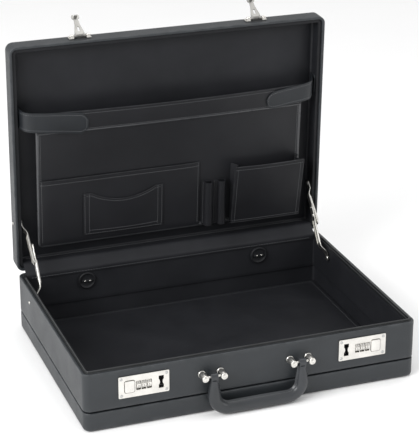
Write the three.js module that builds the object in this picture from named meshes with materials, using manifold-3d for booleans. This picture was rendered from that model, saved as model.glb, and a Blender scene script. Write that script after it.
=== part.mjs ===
// An expandable attache case, standing open: a bottom tray with a telescoping sleeve, an upper frame that
// carries the locks and the handle, and a lid with an organizer, held open by two folding stays.
// Millimetres. X is the width, Y the depth with the handle at -Y and the hinges at +Y, Z is up from the
// floor. The origin is the middle of the bottom face.

import * as THREE from "three";
import { mergeVertices } from "three/addons/utils/BufferGeometryUtils.js";
import Module from "manifold-3d";

const wasm = await Module();
wasm.setup();

const degrees = THREE.MathUtils.degToRad;

// ---------------------------------------------------------------- driving dimensions

const WIDTH = 450;
const DEPTH = 325;
const TRAY_TOP = 26; // top edge of the bottom tray
const GROOVE = 2.2; // slot between tray and frame, where the sleeve shows
const RIM_Z = 80; // parting plane between frame and lid
const LID_THICKNESS = 28;
const LID_OPEN = degrees(88);
const CORNER_R = 10; // vertical corners
const BOTTOM_EDGE_R = 5;
const LID_EDGE_R = 6;
const LIP_R = 1.2; // rounding of the covered edges along grooves and rims
const GAP = 0.3; // between pieces that touch

// Wall layers, as depths in from the outer face.
const BOARD = 4;
const SLEEVE_OUT = BOARD + GAP;
const SLEEVE_IN = SLEEVE_OUT + 2;
const LINER_OUT = SLEEVE_IN + GAP;
const LINER_IN = LINER_OUT + 2;
const RIM_IN = 9;

const FLOOR = 3; // thickness of the tray bottom and the lid top
const FLOOR_PAD = 1.5;
const SLEEVE_TOP = 74;
const FRAME_BOTTOM = TRAY_TOP + GROOVE;
const FRAME_TOP = RIM_Z - GAP;
const LINER_TOP = 76;
const FRONT = -DEPTH / 2;
const BACK = DEPTH / 2;
const SIDE = WIDTH / 2;

// Hinge axis, just behind the back face in the parting plane.
const HINGE_Y = BACK + 1.2;
const HINGE_X = 140;
const HINGE_LENGTH = 42;
const KNUCKLE_R = 2.4;
const HINGE_PIN_R = 1.1;
const LEAF = 1;
const LEAF_HEIGHT = 18;

// Locks, on the front face.
const LOCK_Z = 56;
const LOCK_INNER_X = 115;
const LOCK_LENGTH = 66;
const LOCK_HEIGHT = 29.6;
const LOCK_PLATE = 1.2;
const DIAL_X = [141, 148, 155];
const DIAL_R = 7;
const DIAL_WIDTH = 5.4;
const DIAL_PROUD = 1.3; // how far a dial stands out of its plate
const DIAL_WINDOW = 12.6; // height of a dial's window
const DIAL_SHAFT_R = 1.5;
const BUTTON_X = 166.6;
const BUTTON_WIDTH = 12.8;
const BUTTON_HEIGHT = 16.4;
const BUTTON_PROUD = 0.9; // out of the plate's face
const BUTTON_DEEP = 1.4; // behind the plate's face: a press of 2 still clears the dials' brackets
const SLOT_X = 125.5; // hasp slot, and the middle of the hasp above it
const SLOT_HEIGHT = 17;
const SLOT_WAIST = 4.4;
const SLOT_END = { width: 6.6, height: 4.6 }; // wider ends of the slot
const PLATE_RIVET = { radius: 1.9, proud: 0.7, inset: 3.5 };
const CASE_WALL = 0.8; // sheet of the lock case behind each plate
const BOARD_WINDOW = [121, 173.6]; // opening in the board behind a lock plate

// Hasps, on the lid's front wall. Coordinates are those of the closed case.
const HASP_Y = FRONT - 4.1;
const HASP_Z = RIM_Z + 11;
const HASP_OPEN = degrees(142);
const HASP_BARREL_R = 2.3;
const HASP_BARREL_HALF = 8.2;
const HASP_PIN_R = 1.1;
const HASP_REACH = 32.5; // pivot to the tip of the hook
const HASP_PLATE = { half: 15.5, low: RIM_Z + 8.4, high: RIM_Z + 20 };
const HASP_KNUCKLE = [8.6, 14]; // from the middle of the hasp

// Handle.
const POST_X = [47, 72];
const POST_R = 4.5;
const POST_STUD_R = 2;
const POST_LENGTH = 17;
const PIN_Y = FRONT - 11.5;
const HANDLE_PIN_R = 1.5;
const HANDLE_X = (POST_X[0] + POST_X[1]) / 2;
const GRIP_DROP = 46.5; // pin axis down to the middle of the grip
const GRIP_R = 8.4;
const HANDLE_BEND_R = 20;
const LUG_HALF = 4.6;
const LUG_R = 4.2;
const LUG_THICKNESS = 6.8;
const LUG_FOOT = LOCK_Z - 7; // where the leather of the handle takes over from the lug

// Lid stays: two arms each side, joined at an elbow, folding towards the front.
const STAY_BASE = new THREE.Vector2(100, 63); // Y and Z of the pivot on the frame
const STAY_LID = new THREE.Vector2(BACK - 68, RIM_Z + 15); // the same on the lid, closed
const LOWER_ARM = 64.3;
const UPPER_ARM = 52;
const ARM_WIDTH = 9;
const ARM_SHEET = 1.6;
const ARM_OVERLAP = 12; // each arm's length beyond the elbow
const ARM_WALL_X = 213.5; // inner face of both arms at their pivots, next to the walls
const ARM_STEP = { start: 7, end: 20 }; // where an arm steps in from the wall, along it
const LOWER_X = 206.3; // inner face of the lower arm beyond its step
const UPPER_X = 208.5;
const FLANGE = 1.2; // thickness of the arms' folded edges
const LOWER_FLANGE = 2.3; // depth, inwards
const UPPER_FLANGE = 3.2; // depth, outwards
const RIVET_R = 1.7;
const RIVET_HEAD_R = 4.1;

// Expansion knobs, on the inside of the back wall.
const KNOB_X = 129;
const KNOB_Z = 59;
const KNOB_R = 12.5;
const KNOB_SHAFT_R = 2.6;
const KNOB_PROUD = 3.4;
const KNOB_BAR = { length: 15, width: 4.4 };

// Organizer, hinged along its bottom edge near the lid's mouth. Heights on it are measured from that edge.
const PANEL_HALF = 192;
const PANEL_HEIGHT = 198;
const PANEL_FOOT = 31; // from the back face, closed
const PANEL_DEPTH = 5; // above the parting plane, closed
const PANEL_LEAN = degrees(1.74);
const PANEL_SHEET = 3;
const BAND_HEIGHT = 29;
const BAND_SHEET = 0.8;
const DOCUMENT_POCKET = { left: -190, right: 42, height: 97, hollow: 2.4, sheet: 1.4 };
const CARD_POCKET = { left: -129, right: -13, foot: 11, height: 63, dip: 15, hollow: 2, sheet: 1.2 };
const PEN_X = [54, 74];
const PEN_BORE_R = 4.6;
const PEN_SLEEVE_R = 6;
const PEN_HEIGHT = 67;
const GUSSET_POCKET = { left: 88, right: 191, height: 93, footDepth: 12, mouthDepth: 24, sheet: 1.6 };
const STRAP_SHEET = 2;
const STRAP_LEFT = { tip: -121, foot: 166, width: 31 }; // at the end that lies on the panel
const STRAP_RIGHT = { tip: 138, foot: 167, width: 26 };
const STRAP_END = 209; // where the straps leave the panel for the side walls
const STRAP_END_FOOT = 180; // their lower edge there, up the panel
const STRAP_END_WIDTH = 26;
const ANCHOR_SHEET = 2.4;
const ANCHOR_Z = [RIM_Z + 7, RIM_Z + 22];

// ---------------------------------------------------------------- materials

function material(color, roughness, metalness) {
  return new THREE.MeshStandardMaterial({ color, roughness, metalness });
}
const leather = () => material(0x3a3f44, 0.5, 0);
const lining = () => material(0x202226, 0.75, 0);
const trim = () => material(0x141517, 0.4, 0);
const nickel = () => material(0xd9d6cf, 0.28, 1);

// ---------------------------------------------------------------- solids

// A closed three.js geometry as a solid that can be joined and cut.
function solid(geometry) {
  const bare = geometry.index ? geometry.toNonIndexed() : geometry.clone();
  bare.deleteAttribute("normal");
  bare.deleteAttribute("uv");
  const merged = mergeVertices(bare, 1e-4);
  const corners = merged.index.array;
  const kept = [];
  for (let i = 0; i < corners.length; i += 3) {
    const [a, b, c] = corners.slice(i, i + 3);
    if (a !== b && b !== c && c !== a) kept.push(a, b, c);
  }
  const mesh = new wasm.Mesh({
    numProp: 3,
    vertProperties: merged.attributes.position.array,
    triVerts: new Uint32Array(kept),
  });
  return new wasm.Manifold(mesh);
}

function join(...solids) {
  return solids.reduce((whole, piece) => whole.add(piece));
}

function cut(whole, ...tools) {
  return tools.reduce((rest, tool) => rest.subtract(tool), whole);
}

// A box between two corners, given as [low, high] along each axis.
function box([x0, x1], [y0, y1], [z0, z1]) {
  const geometry = new THREE.BoxGeometry(x1 - x0, y1 - y0, z1 - z0);
  return solid(geometry.translate((x0 + x1) / 2, (y0 + y1) / 2, (z0 + z1) / 2));
}

function roundedRectangle(width, height, radius) {
  const x = width / 2;
  const y = height / 2;
  const shape = new THREE.Shape();
  shape.moveTo(-x + radius, -y);
  shape.lineTo(x - radius, -y);
  shape.absarc(x - radius, -y + radius, radius, -Math.PI / 2, 0);
  shape.lineTo(x, y - radius);
  shape.absarc(x - radius, y - radius, radius, 0, Math.PI / 2);
  shape.lineTo(-x + radius, y);
  shape.absarc(-x + radius, y - radius, radius, Math.PI / 2, Math.PI);
  shape.lineTo(-x, -y + radius);
  shape.absarc(-x + radius, -y + radius, radius, Math.PI, Math.PI * 1.5);
  return shape;
}

function polygon(points) {
  return new THREE.Shape(points.map(([x, y]) => new THREE.Vector2(x, y)));
}

function extrude(shape, depth, curveSegments = 4) {
  return new THREE.ExtrudeGeometry(shape, { depth, bevelEnabled: false, curveSegments });
}

// The case's outline, drawn in by a depth from the outer face, between two heights.
function slab(inset, z0, z1) {
  const radius = Math.max(CORNER_R - inset, 2);
  const outline = roundedRectangle(WIDTH - 2 * inset, DEPTH - 2 * inset, radius);
  return solid(extrude(outline, z1 - z0).translate(0, 0, z0));
}

function ring(outerInset, innerInset, z0, z1) {
  return cut(slab(outerInset, z0, z1), slab(innerInset, z0 - 1, z1 + 1));
}

// The case's full outline with its upper and lower edges rounded.
function softSlab(edge, z0, z1) {
  const geometry = new THREE.ExtrudeGeometry(roundedRectangle(WIDTH, DEPTH, CORNER_R), {
    depth: z1 - z0 - 2 * edge,
    bevelThickness: edge,
    bevelSize: edge,
    bevelOffset: -edge,
    bevelSegments: edge > 2 ? 3 : 1,
    curveSegments: 4,
  });
  return solid(geometry.translate(0, 0, z0 + edge));
}

// A shape drawn in X and Z, standing towards -Y from a plane.
function frontPlate(shape, back, thickness, curveSegments = 4) {
  const geometry = extrude(shape, thickness, curveSegments);
  return solid(geometry.rotateX(Math.PI / 2).translate(0, back, 0));
}

// A shape drawn in Y and Z, standing towards +X from a plane.
function sidePlate(shape, from, thickness, curveSegments = 6) {
  const turn = new THREE.Matrix4().makeBasis(
    new THREE.Vector3(0, 1, 0),
    new THREE.Vector3(0, 0, 1),
    new THREE.Vector3(1, 0, 0),
  );
  return solid(extrude(shape, thickness, curveSegments).applyMatrix4(turn).translate(from, 0, 0));
}

// A turned piece: the profile gives [radius, distance along the axis], starting and ending on the axis.
function turned(profile, axis, place, sides) {
  const points = profile.map(([radius, along]) => new THREE.Vector2(radius, along));
  const geometry = new THREE.LatheGeometry(points, sides);
  if (axis === "x") geometry.rotateZ(-Math.PI / 2);
  return solid(geometry.translate(...place));
}

// A round bar along X or Y, centred on the other two coordinates of its place.
function rod(radius, from, to, axis, place, sides = 10) {
  const profile = [
    [0, from],
    [radius, from],
    [radius, to],
    [0, to],
  ];
  return turned(profile, axis, place, sides);
}

// ---------------------------------------------------------------- scene graph

const attacheCase = new THREE.Group();

// The lid group stands on the hinge axis, opened. Inside it, pieces keep the coordinates of the closed case.
const lidHinge = new THREE.Group();
lidHinge.position.set(0, HINGE_Y, RIM_Z);
lidHinge.rotation.x = -LID_OPEN;
attacheCase.add(lidHinge);
const lid = new THREE.Group();
lid.position.set(0, -HINGE_Y, -RIM_Z);
lidHinge.add(lid);

// In the organizer group X is the width, -Y runs up the panel and -Z stands out of its front.
const organizer = new THREE.Group();
organizer.position.set(0, BACK - PANEL_FOOT, RIM_Z + PANEL_DEPTH);
organizer.rotation.x = PANEL_LEAN;
lid.add(organizer);

function addPiece(parent, name, shape, look) {
  const { numProp, numVert, vertProperties, triVerts } = shape.getMesh();
  const positions = new Float32Array(numVert * 3);
  for (let i = 0; i < numVert; i += 1) {
    positions.set(vertProperties.subarray(i * numProp, i * numProp + 3), i * 3);
  }
  const geometry = new THREE.BufferGeometry();
  geometry.setAttribute("position", new THREE.BufferAttribute(positions, 3));
  geometry.setIndex(new THREE.BufferAttribute(triVerts, 1));
  const mesh = new THREE.Mesh(geometry, look);
  mesh.name = name;
  parent.add(mesh);
  return mesh;
}

// Adds a right-hand piece and its mirror image on the left.
function addPair(parent, name, shape, look) {
  const right = addPiece(parent, `${name}_right`, shape, look());
  const left = addPiece(parent, `${name}_left`, shape, look());
  left.scale.x = -1;
  return [right, left];
}

const bothSides = (make) => join(make(1), make(-1));

// ---------------------------------------------------------------- tray

function trayShell() {
  const outside = softSlab(BOTTOM_EDGE_R, 0, TRAY_TOP * 2).intersect(softSlab(LIP_R, -TRAY_TOP, TRAY_TOP));
  return cut(outside, slab(BOARD, FLOOR, TRAY_TOP + 1));
}

// The sleeve stands up inside the frame's wall. It is open at the top for the lock cases and the stay rivets.
function expansionSleeve() {
  const wall = ring(SLEEVE_OUT, SLEEVE_IN, FLOOR + GAP, SLEEVE_TOP);
  const lockNotch = (side) =>
    box(
      side > 0 ? [LOCK_CASE.x0 - 1, LOCK_CASE.x1 + 1] : [-LOCK_CASE.x1 - 1, -LOCK_CASE.x0 + 1],
      [FRONT, FRONT + 2 * BOARD],
      [LOCK_CASE.z0 - GAP, SLEEVE_TOP + 1],
    );
  const rivetSlot = box(
    [-SIDE, SIDE],
    [STAY_BASE.x - RIVET_R - 1, STAY_BASE.x + RIVET_R + 1],
    [STAY_BASE.y - RIVET_R - 1, SLEEVE_TOP + 1],
  );
  return cut(wall, bothSides(lockNotch), rivetSlot);
}

function trayFloorLining() {
  return slab(SLEEVE_IN + GAP, FLOOR + GAP, FLOOR + GAP + FLOOR_PAD);
}

// ---------------------------------------------------------------- frame

// Outside of the sheet-metal box behind each lock plate.
const LOCK_CASE = {
  x0: 119.5,
  x1: 175.5,
  z0: LOCK_Z - DIAL_R - CASE_WALL - GAP,
  z1: LOCK_Z + DIAL_R + CASE_WALL + GAP,
  front: FRONT + BOARD + GAP,
  back: FRONT + 13.4,
};

// Room round the hinge knuckles, taken out of both shells.
function knuckleRoom() {
  const half = HINGE_LENGTH / 2 + GAP;
  const room = (side) =>
    rod(KNUCKLE_R + GAP, side * HINGE_X - half, side * HINGE_X + half, "x", [0, HINGE_Y, RIM_Z], 12);
  return bothSides(room);
}

function sideHoles(place, radius) {
  return rod(radius, -SIDE - 1, SIDE + 1, "x", [0, place.x, place.y]);
}

function frameShell() {
  const wall = cut(softSlab(LIP_R, FRAME_BOTTOM, FRAME_TOP), slab(BOARD, FRAME_BOTTOM - 1, FRAME_TOP + 1));
  const windowHalf = BUTTON_HEIGHT / 2 + 3 * GAP;
  const lockWindow = (side) => {
    const ends = BOARD_WINDOW.map((x) => side * x).sort((a, b) => a - b);
    return box(ends, [FRONT - 1, FRONT + BOARD + 1], [LOCK_Z - windowHalf, LOCK_Z + windowHalf]);
  };
  const studHoles = POST_X.flatMap((x) => [x, -x]).map((x) =>
    rod(POST_STUD_R + GAP, FRONT - 1, FRONT + BOARD - 0.5, "y", [x, 0, LOCK_Z]),
  );
  return cut(wall, bothSides(lockWindow), knuckleRoom(), sideHoles(STAY_BASE, RIVET_R + GAP), ...studHoles);
}

function frameLiner() {
  const wall = ring(LINER_OUT, LINER_IN, FRAME_BOTTOM, LINER_TOP);
  const lockOpening = (side) => {
    const ends = [side * (LOCK_CASE.x0 - GAP), side * (LOCK_CASE.x1 + GAP)].sort((a, b) => a - b);
    return box(ends, [FRONT, FRONT + 2 * LINER_IN], [LOCK_CASE.z0 - GAP, LOCK_CASE.z1 + GAP]);
  };
  const knobHole = (side) =>
    rod(KNOB_SHAFT_R + GAP, BACK - 2 * LINER_IN, BACK, "y", [side * KNOB_X, 0, KNOB_Z]);
  return cut(wall, bothSides(lockOpening), bothSides(knobHole), sideHoles(STAY_BASE, RIVET_R + GAP));
}

// The valance that closes the top of the wall. Its tongue enters the lid's mouth, on the front and the sides.
function baseRim() {
  const ledge = ring(SLEEVE_OUT, RIM_IN, LINER_TOP + GAP, RIM_Z - 0.1);
  const tongue = cut(
    ring(SLEEVE_OUT + 1.1, SLEEVE_OUT + 3.1, RIM_Z - 1, RIM_Z + 2.4),
    box([-SIDE, SIDE], [BACK - 2 * RIM_IN, BACK + 1], [RIM_Z - 2, RIM_Z + 4]),
  );
  return join(ledge, tongue);
}

// ---------------------------------------------------------------- hinges

// Three knuckles on the axis: the outer two and the pin are the frame leaf's, the middle one is the lid's.
const KNUCKLE = HINGE_LENGTH / 3;
const HINGE_START = HINGE_X - HINGE_LENGTH / 2;
const HINGE_AXIS = [0, HINGE_Y, RIM_Z];

function hingeLeaf(rise) {
  const ends = [HINGE_START, HINGE_START + HINGE_LENGTH];
  const far = RIM_Z + rise * LEAF_HEIGHT;
  const near = RIM_Z + rise * 0.5;
  return box(ends, [BACK + GAP, BACK + GAP + LEAF], rise > 0 ? [near, far] : [far, near]);
}

function knuckle(index, radius, slack = 0) {
  const start = HINGE_START + index * KNUCKLE + GAP / 2;
  return rod(radius, start - slack, start + KNUCKLE - GAP + slack, "x", HINGE_AXIS, 12);
}

function hingeLeafBase() {
  const pin = rod(HINGE_PIN_R, HINGE_START, HINGE_START + HINGE_LENGTH, "x", HINGE_AXIS);
  const leaf = cut(hingeLeaf(-1), knuckle(1, KNUCKLE_R + GAP, GAP / 2));
  return join(leaf, knuckle(0, KNUCKLE_R), knuckle(2, KNUCKLE_R), pin);
}

function hingeLeafLid() {
  const outerRoom = [0, 2].map((index) => knuckle(index, KNUCKLE_R + GAP, GAP / 2));
  const leaf = cut(hingeLeaf(1), ...outerRoom);
  return cut(join(leaf, knuckle(1, KNUCKLE_R)), knuckle(1, HINGE_PIN_R + GAP, 1));
}

// The lining flap over the hinge line, where it is fixed to the frame's back wall.
const FLAP_HALF = 214.5;
const FLAP_SHEET = 1.2;

function hingeFlap() {
  const face = BACK - RIM_IN - GAP;
  return box([-FLAP_HALF, FLAP_HALF], [face - FLAP_SHEET, face], [KNOB_Z + KNOB_R + 1, RIM_Z - 0.5]);
}

// ---------------------------------------------------------------- locks

const PLATE_BACK = FRONT - GAP;
const PLATE_FRONT = PLATE_BACK - LOCK_PLATE;
const DIAL_Y = PLATE_FRONT - DIAL_PROUD + DIAL_R;

// A shape moved in its own plane.
function placed(shape, x, z, divisions = 2) {
  const { shape: points } = shape.extractPoints(divisions);
  return new THREE.Shape(points.map((point) => new THREE.Vector2(point.x + x, point.y + z)));
}

function lockPlate() {
  const middle = LOCK_INNER_X + LOCK_LENGTH / 2;
  const outline = placed(roundedRectangle(LOCK_LENGTH, LOCK_HEIGHT, 1.5), middle, LOCK_Z);
  const plate = frontPlate(outline, PLATE_BACK, LOCK_PLATE);
  const through = (shape, x, rise = 0) =>
    frontPlate(placed(shape, x, LOCK_Z + rise), PLATE_BACK + 1, LOCK_PLATE + 2);
  const dialWindow = roundedRectangle(DIAL_WIDTH + 2.6 * GAP, DIAL_WINDOW, 0.8);
  const dialWindows = DIAL_X.map((x) => through(dialWindow, x));
  const buttonHole = roundedRectangle(BUTTON_WIDTH + 4 * GAP, BUTTON_HEIGHT + 4 * GAP, 3);
  const slotWaist = through(roundedRectangle(SLOT_WAIST, SLOT_HEIGHT, 0.6), SLOT_X);
  const slotEnd = roundedRectangle(SLOT_END.width, SLOT_END.height, 0.6);
  const endRise = (SLOT_HEIGHT - SLOT_END.height) / 2;
  const slotEnds = [-endRise, endRise].map((rise) => through(slotEnd, SLOT_X, rise));
  const { radius, proud, inset } = PLATE_RIVET;
  const rivets = [-1, 1].flatMap((rise) =>
    [-1, 1].map((along) => {
      const x = middle + along * (LOCK_LENGTH / 2 - inset);
      const z = LOCK_Z + rise * (LOCK_HEIGHT / 2 - inset);
      const head = [
        [0, PLATE_FRONT - proud],
        [radius, PLATE_FRONT - proud / 3],
        [radius, PLATE_FRONT + LOCK_PLATE / 2],
        [0, PLATE_FRONT + LOCK_PLATE / 2],
      ];
      return turned(head, "y", [x, 0, z], 8);
    }),
  );
  return join(cut(plate, ...dialWindows, through(buttonHole, BUTTON_X), slotWaist, ...slotEnds), ...rivets);
}

// An open box behind the plate, with the shaft that the dials turn on and a bracket at each end of it.
const BRACKET_OFF = 4.4; // from the middle of an outer dial
const BRACKET_HALF = 0.6;

function lockCase() {
  const { x0, x1, z0, z1, front, back } = LOCK_CASE;
  const shell = cut(
    box([x0, x1], [front, back], [z0, z1]),
    box([x0 + CASE_WALL, x1 - CASE_WALL], [front - 1, back - CASE_WALL], [z0 + CASE_WALL, z1 - CASE_WALL]),
  );
  const first = DIAL_X[0] - BRACKET_OFF;
  const last = DIAL_X[2] + BRACKET_OFF;
  const shaft = rod(DIAL_SHAFT_R, first, last, "x", [0, DIAL_Y, LOCK_Z], 10);
  const bracket = (x) =>
    box([x - BRACKET_HALF, x + BRACKET_HALF], [DIAL_Y - 2, back - CASE_WALL / 2], [LOCK_Z - 3, LOCK_Z + 3]);
  return join(shell, shaft, bracket(first), bracket(last));
}

function dial(x) {
  const wheel = rod(DIAL_R, x - DIAL_WIDTH / 2, x + DIAL_WIDTH / 2, "x", [0, DIAL_Y, LOCK_Z], 20);
  return cut(wheel, rod(DIAL_SHAFT_R + GAP, x - DIAL_WIDTH, x + DIAL_WIDTH, "x", [0, DIAL_Y, LOCK_Z], 10));
}

// A push button whose stem works the pawl inside the lock case.
function latchButton() {
  const outline = placed(roundedRectangle(BUTTON_WIDTH, BUTTON_HEIGHT, 2.6), BUTTON_X, LOCK_Z);
  const pad = frontPlate(outline, PLATE_FRONT + BUTTON_DEEP, BUTTON_DEEP + BUTTON_PROUD);
  const stem = rod(2, PLATE_FRONT, LOCK_CASE.back - 4, "y", [BUTTON_X, 0, LOCK_Z]);
  return join(pad, stem);
}

// ---------------------------------------------------------------- hasps

function haspPlate() {
  const { half, low, high } = HASP_PLATE;
  const axis = [0, HASP_Y, HASP_Z];
  const plate = box([SLOT_X - half, SLOT_X + half], [PLATE_FRONT, PLATE_BACK], [low, high]);
  const knuckles = [-1, 1].map((side) => {
    const ends = HASP_KNUCKLE.map((off) => SLOT_X + side * off).sort((a, b) => a - b);
    const barrel = rod(HASP_BARREL_R, ...ends, "x", axis, 12);
    const web = box(ends, [HASP_Y, PLATE_BACK - GAP], [HASP_Z - HASP_BARREL_R, HASP_Z + HASP_BARREL_R]);
    return join(barrel, web);
  });
  const pinHalf = HASP_KNUCKLE[1] - 1;
  const pin = rod(HASP_PIN_R, SLOT_X - pinHalf, SLOT_X + pinHalf, "x", axis, 10);
  const roomHalf = HASP_BARREL_HALF + GAP;
  const barrelRoom = rod(HASP_BARREL_R + 0.4, SLOT_X - roomHalf, SLOT_X + roomHalf, "x", axis, 12);
  return join(cut(plate, barrelRoom), ...knuckles, pin);
}

// Drawn closed, hanging down from its pivot: the arm narrows to a T-shaped tip that carries the hook.
function hasp() {
  const barrel = rod(HASP_BARREL_R, SLOT_X - HASP_BARREL_HALF, SLOT_X + HASP_BARREL_HALF, "x", [0, 0, 0], 12);
  const edge = [
    [7, 0],
    [6.4, -8],
    [3.2, -20],
    [2.8, -HASP_REACH + 7.5],
    [5, -HASP_REACH + 5.5],
    [5, -HASP_REACH + 1],
    [3.6, -HASP_REACH],
  ];
  const outline = polygon([...edge.map(([x, z]) => [-x, z]), ...edge.reverse()]);
  const armBack = 1.4;
  const arm = frontPlate(placed(outline, SLOT_X, 0), armBack, ARM_SHEET);
  const tip = [-HASP_REACH, -HASP_REACH + 5];
  const hook = box([SLOT_X - 1.8, SLOT_X + 1.8], [armBack - 0.5, armBack + 5], tip);
  const bore = rod(HASP_PIN_R + GAP, SLOT_X - HASP_KNUCKLE[0], SLOT_X + HASP_KNUCKLE[0], "x", [0, 0, 0], 10);
  return cut(join(barrel, arm, hook), bore);
}

// ---------------------------------------------------------------- handle

// A turned post with a stud into the board, a domed cap and a blind hole for the handle's pin.
function handlePost(x) {
  const face = FRONT - GAP;
  const tip = face - POST_LENGTH;
  const profile = [
    [0, tip],
    [1.6, tip],
    [1.9, tip + 0.5],
    [3.4, tip + 0.5],
    [POST_R, tip + 1.3],
    [POST_R, face],
    [POST_STUD_R, face],
    [POST_STUD_R, face + 3],
    [0, face + 3],
  ];
  const towardsHandle = Math.sign(HANDLE_X - x);
  const ends = [x + towardsHandle * (POST_R - 2), x + towardsHandle * (POST_R + 1)].sort((a, b) => a - b);
  const hole = rod(HANDLE_PIN_R + 0.2, ...ends, "x", [0, PIN_Y, LOCK_Z]);
  return cut(turned(profile, "y", [x, 0, LOCK_Z], 14), hole);
}

function handlePin() {
  const inset = POST_R - 1.6;
  return rod(HANDLE_PIN_R, POST_X[0] + inset, POST_X[1] - inset, "x", [0, PIN_Y, LOCK_Z]);
}

// A metal loop on the pin, at the end of each handle leg.
function handleLug() {
  const ends = [HANDLE_X - LUG_HALF, HANDLE_X + LUG_HALF];
  const axis = [0, PIN_Y, LOCK_Z];
  const loop = rod(LUG_R, ...ends, "x", axis, 14);
  const tongue = box(ends, [PIN_Y - LUG_THICKNESS / 2, PIN_Y + LUG_THICKNESS / 2], [LUG_FOOT, LOCK_Z]);
  return cut(join(loop, tongue), rod(HANDLE_PIN_R + 0.2, ends[0] - 1, ends[1] + 1, "x", axis));
}

// The padded leather grip: a U hanging from the lugs.
function handleGrip() {
  const bottom = LOCK_Z - GRIP_DROP;
  const at = (x, z) => new THREE.Vector3(x, PIN_Y, z);
  const arcPull = HANDLE_BEND_R * (1 - 0.5523); // control distance that makes a cubic curve a quarter circle
  const bend = (side) => [
    at(side * HANDLE_X, bottom + HANDLE_BEND_R),
    at(side * HANDLE_X, bottom + arcPull),
    at(side * (HANDLE_X - arcPull), bottom),
    at(side * (HANDLE_X - HANDLE_BEND_R), bottom),
  ];
  const leftBend = bend(-1);
  const rightBend = bend(1).reverse();
  const route = new THREE.CurvePath();
  route.add(new THREE.LineCurve3(at(-HANDLE_X, LUG_FOOT - GAP), leftBend[0]));
  route.add(new THREE.CubicBezierCurve3(...leftBend));
  route.add(new THREE.LineCurve3(leftBend[3], rightBend[0]));
  route.add(new THREE.CubicBezierCurve3(...rightBend));
  route.add(new THREE.LineCurve3(rightBend[3], at(HANDLE_X, LUG_FOOT - GAP)));
  const section = new THREE.Shape().absellipse(0, 0, GRIP_R, GRIP_R - 0.8, 0, Math.PI * 2);
  return solid(new THREE.ExtrudeGeometry(section, { steps: 26, extrudePath: route, curveSegments: 6 }));
}

// ---------------------------------------------------------------- lid stays

// Where the elbow of an open stay stands: on both arms' circles, on the side that it folds towards.
function stayElbow() {
  const closed = new THREE.Vector2(STAY_LID.x - HINGE_Y, STAY_LID.y - RIM_Z);
  const top = closed.rotateAround(new THREE.Vector2(), -LID_OPEN).add(new THREE.Vector2(HINGE_Y, RIM_Z));
  const span = top.clone().sub(STAY_BASE);
  const reach = span.length();
  const along = (LOWER_ARM ** 2 - UPPER_ARM ** 2 + reach ** 2) / (2 * reach);
  const off = Math.sqrt(LOWER_ARM ** 2 - along ** 2);
  const unit = span.normalize();
  const foldSide = new THREE.Vector2(-unit.y, unit.x);
  const elbow = foldSide.multiplyScalar(off).addScaledVector(unit, along).add(STAY_BASE);
  return { elbow, top };
}

// An arm's outline from its pivot at the origin, with round ends; it may run on past the elbow.
function armOutline(length) {
  const radius = ARM_WIDTH / 2;
  const shape = new THREE.Shape();
  shape.absarc(0, 0, radius, Math.PI / 2, Math.PI * 1.5);
  shape.lineTo(length, -radius);
  shape.absarc(length, 0, radius, -Math.PI / 2, Math.PI / 2);
  return shape;
}

const eye = (along) => rod(RIVET_R + GAP, LOWER_X - 2, SIDE, "x", [0, along, 0]);

// The folded edges that make a channel of an arm, between two distances from its pivot and two faces.
function armFlanges(along, across) {
  const edge = [ARM_WIDTH / 2 - FLANGE, ARM_WIDTH / 2];
  return join(box(across, along, edge), box(across, along, [-edge[1], -edge[0]]));
}

// An arm that steps in from the wall to a face, so that it clears the rims and folds beside the other arm.
function steppedArm(face, length) {
  const { start, end } = ARM_STEP;
  const past = length + ARM_WIDTH;
  const bent = polygon([
    [-ARM_WIDTH, ARM_WALL_X],
    [start, ARM_WALL_X],
    [end, face],
    [past, face],
    [past, face + ARM_SHEET],
    [end + 0.5, face + ARM_SHEET],
    [start + 0.5, ARM_WALL_X + ARM_SHEET],
    [-ARM_WIDTH, ARM_WALL_X + ARM_SHEET],
  ]);
  const turn = new THREE.Matrix4().makeBasis(
    new THREE.Vector3(0, 1, 0),
    new THREE.Vector3(1, 0, 0),
    new THREE.Vector3(0, 0, -1),
  );
  const band = solid(extrude(bent, 2 * ARM_WIDTH).translate(0, 0, -ARM_WIDTH).applyMatrix4(turn));
  return band.intersect(sidePlate(armOutline(length), face - 1, ARM_WALL_X - face + ARM_SHEET + 2));
}

function stayLower() {
  const length = LOWER_ARM + ARM_OVERLAP;
  const stop = rod(1.5, LOWER_X - 1.1, LOWER_X + 0.5, "x", [0, length, 0], 10);
  const flanges = armFlanges(
    [ARM_STEP.end + 2, LOWER_ARM - RIVET_HEAD_R - 2],
    [LOWER_X - LOWER_FLANGE, LOWER_X + ARM_SHEET / 2],
  );
  return join(cut(steppedArm(LOWER_X, length), eye(0), eye(LOWER_ARM)), stop, flanges);
}

function stayUpper() {
  const length = UPPER_ARM + ARM_OVERLAP - 2;
  const flanges = armFlanges(
    [ARM_STEP.end + 2, length],
    [UPPER_X + ARM_SHEET / 2, UPPER_X + ARM_SHEET + UPPER_FLANGE],
  );
  return join(cut(steppedArm(UPPER_X, length), eye(0), eye(UPPER_ARM)), flanges);
}

// Rivet profiles along X, from the inside of the case outwards.
const OUTER_HEAD = [
  [RIVET_R, SIDE + GAP],
  [RIVET_HEAD_R, SIDE + GAP],
  [RIVET_HEAD_R - 0.9, SIDE + GAP + 1.1],
  [0, SIDE + GAP + 1.4],
];

function innerHead(face) {
  return [
    [0, face - 1.5],
    [RIVET_HEAD_R - 1, face - 1.3],
    [RIVET_HEAD_R, face - 0.4],
    [RIVET_HEAD_R, face],
    [RIVET_R, face],
  ];
}

function stayBaseRivet() {
  const profile = [...innerHead(ARM_WALL_X - GAP), ...OUTER_HEAD];
  return turned(profile, "x", [0, STAY_BASE.x, STAY_BASE.y], 12);
}

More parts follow.
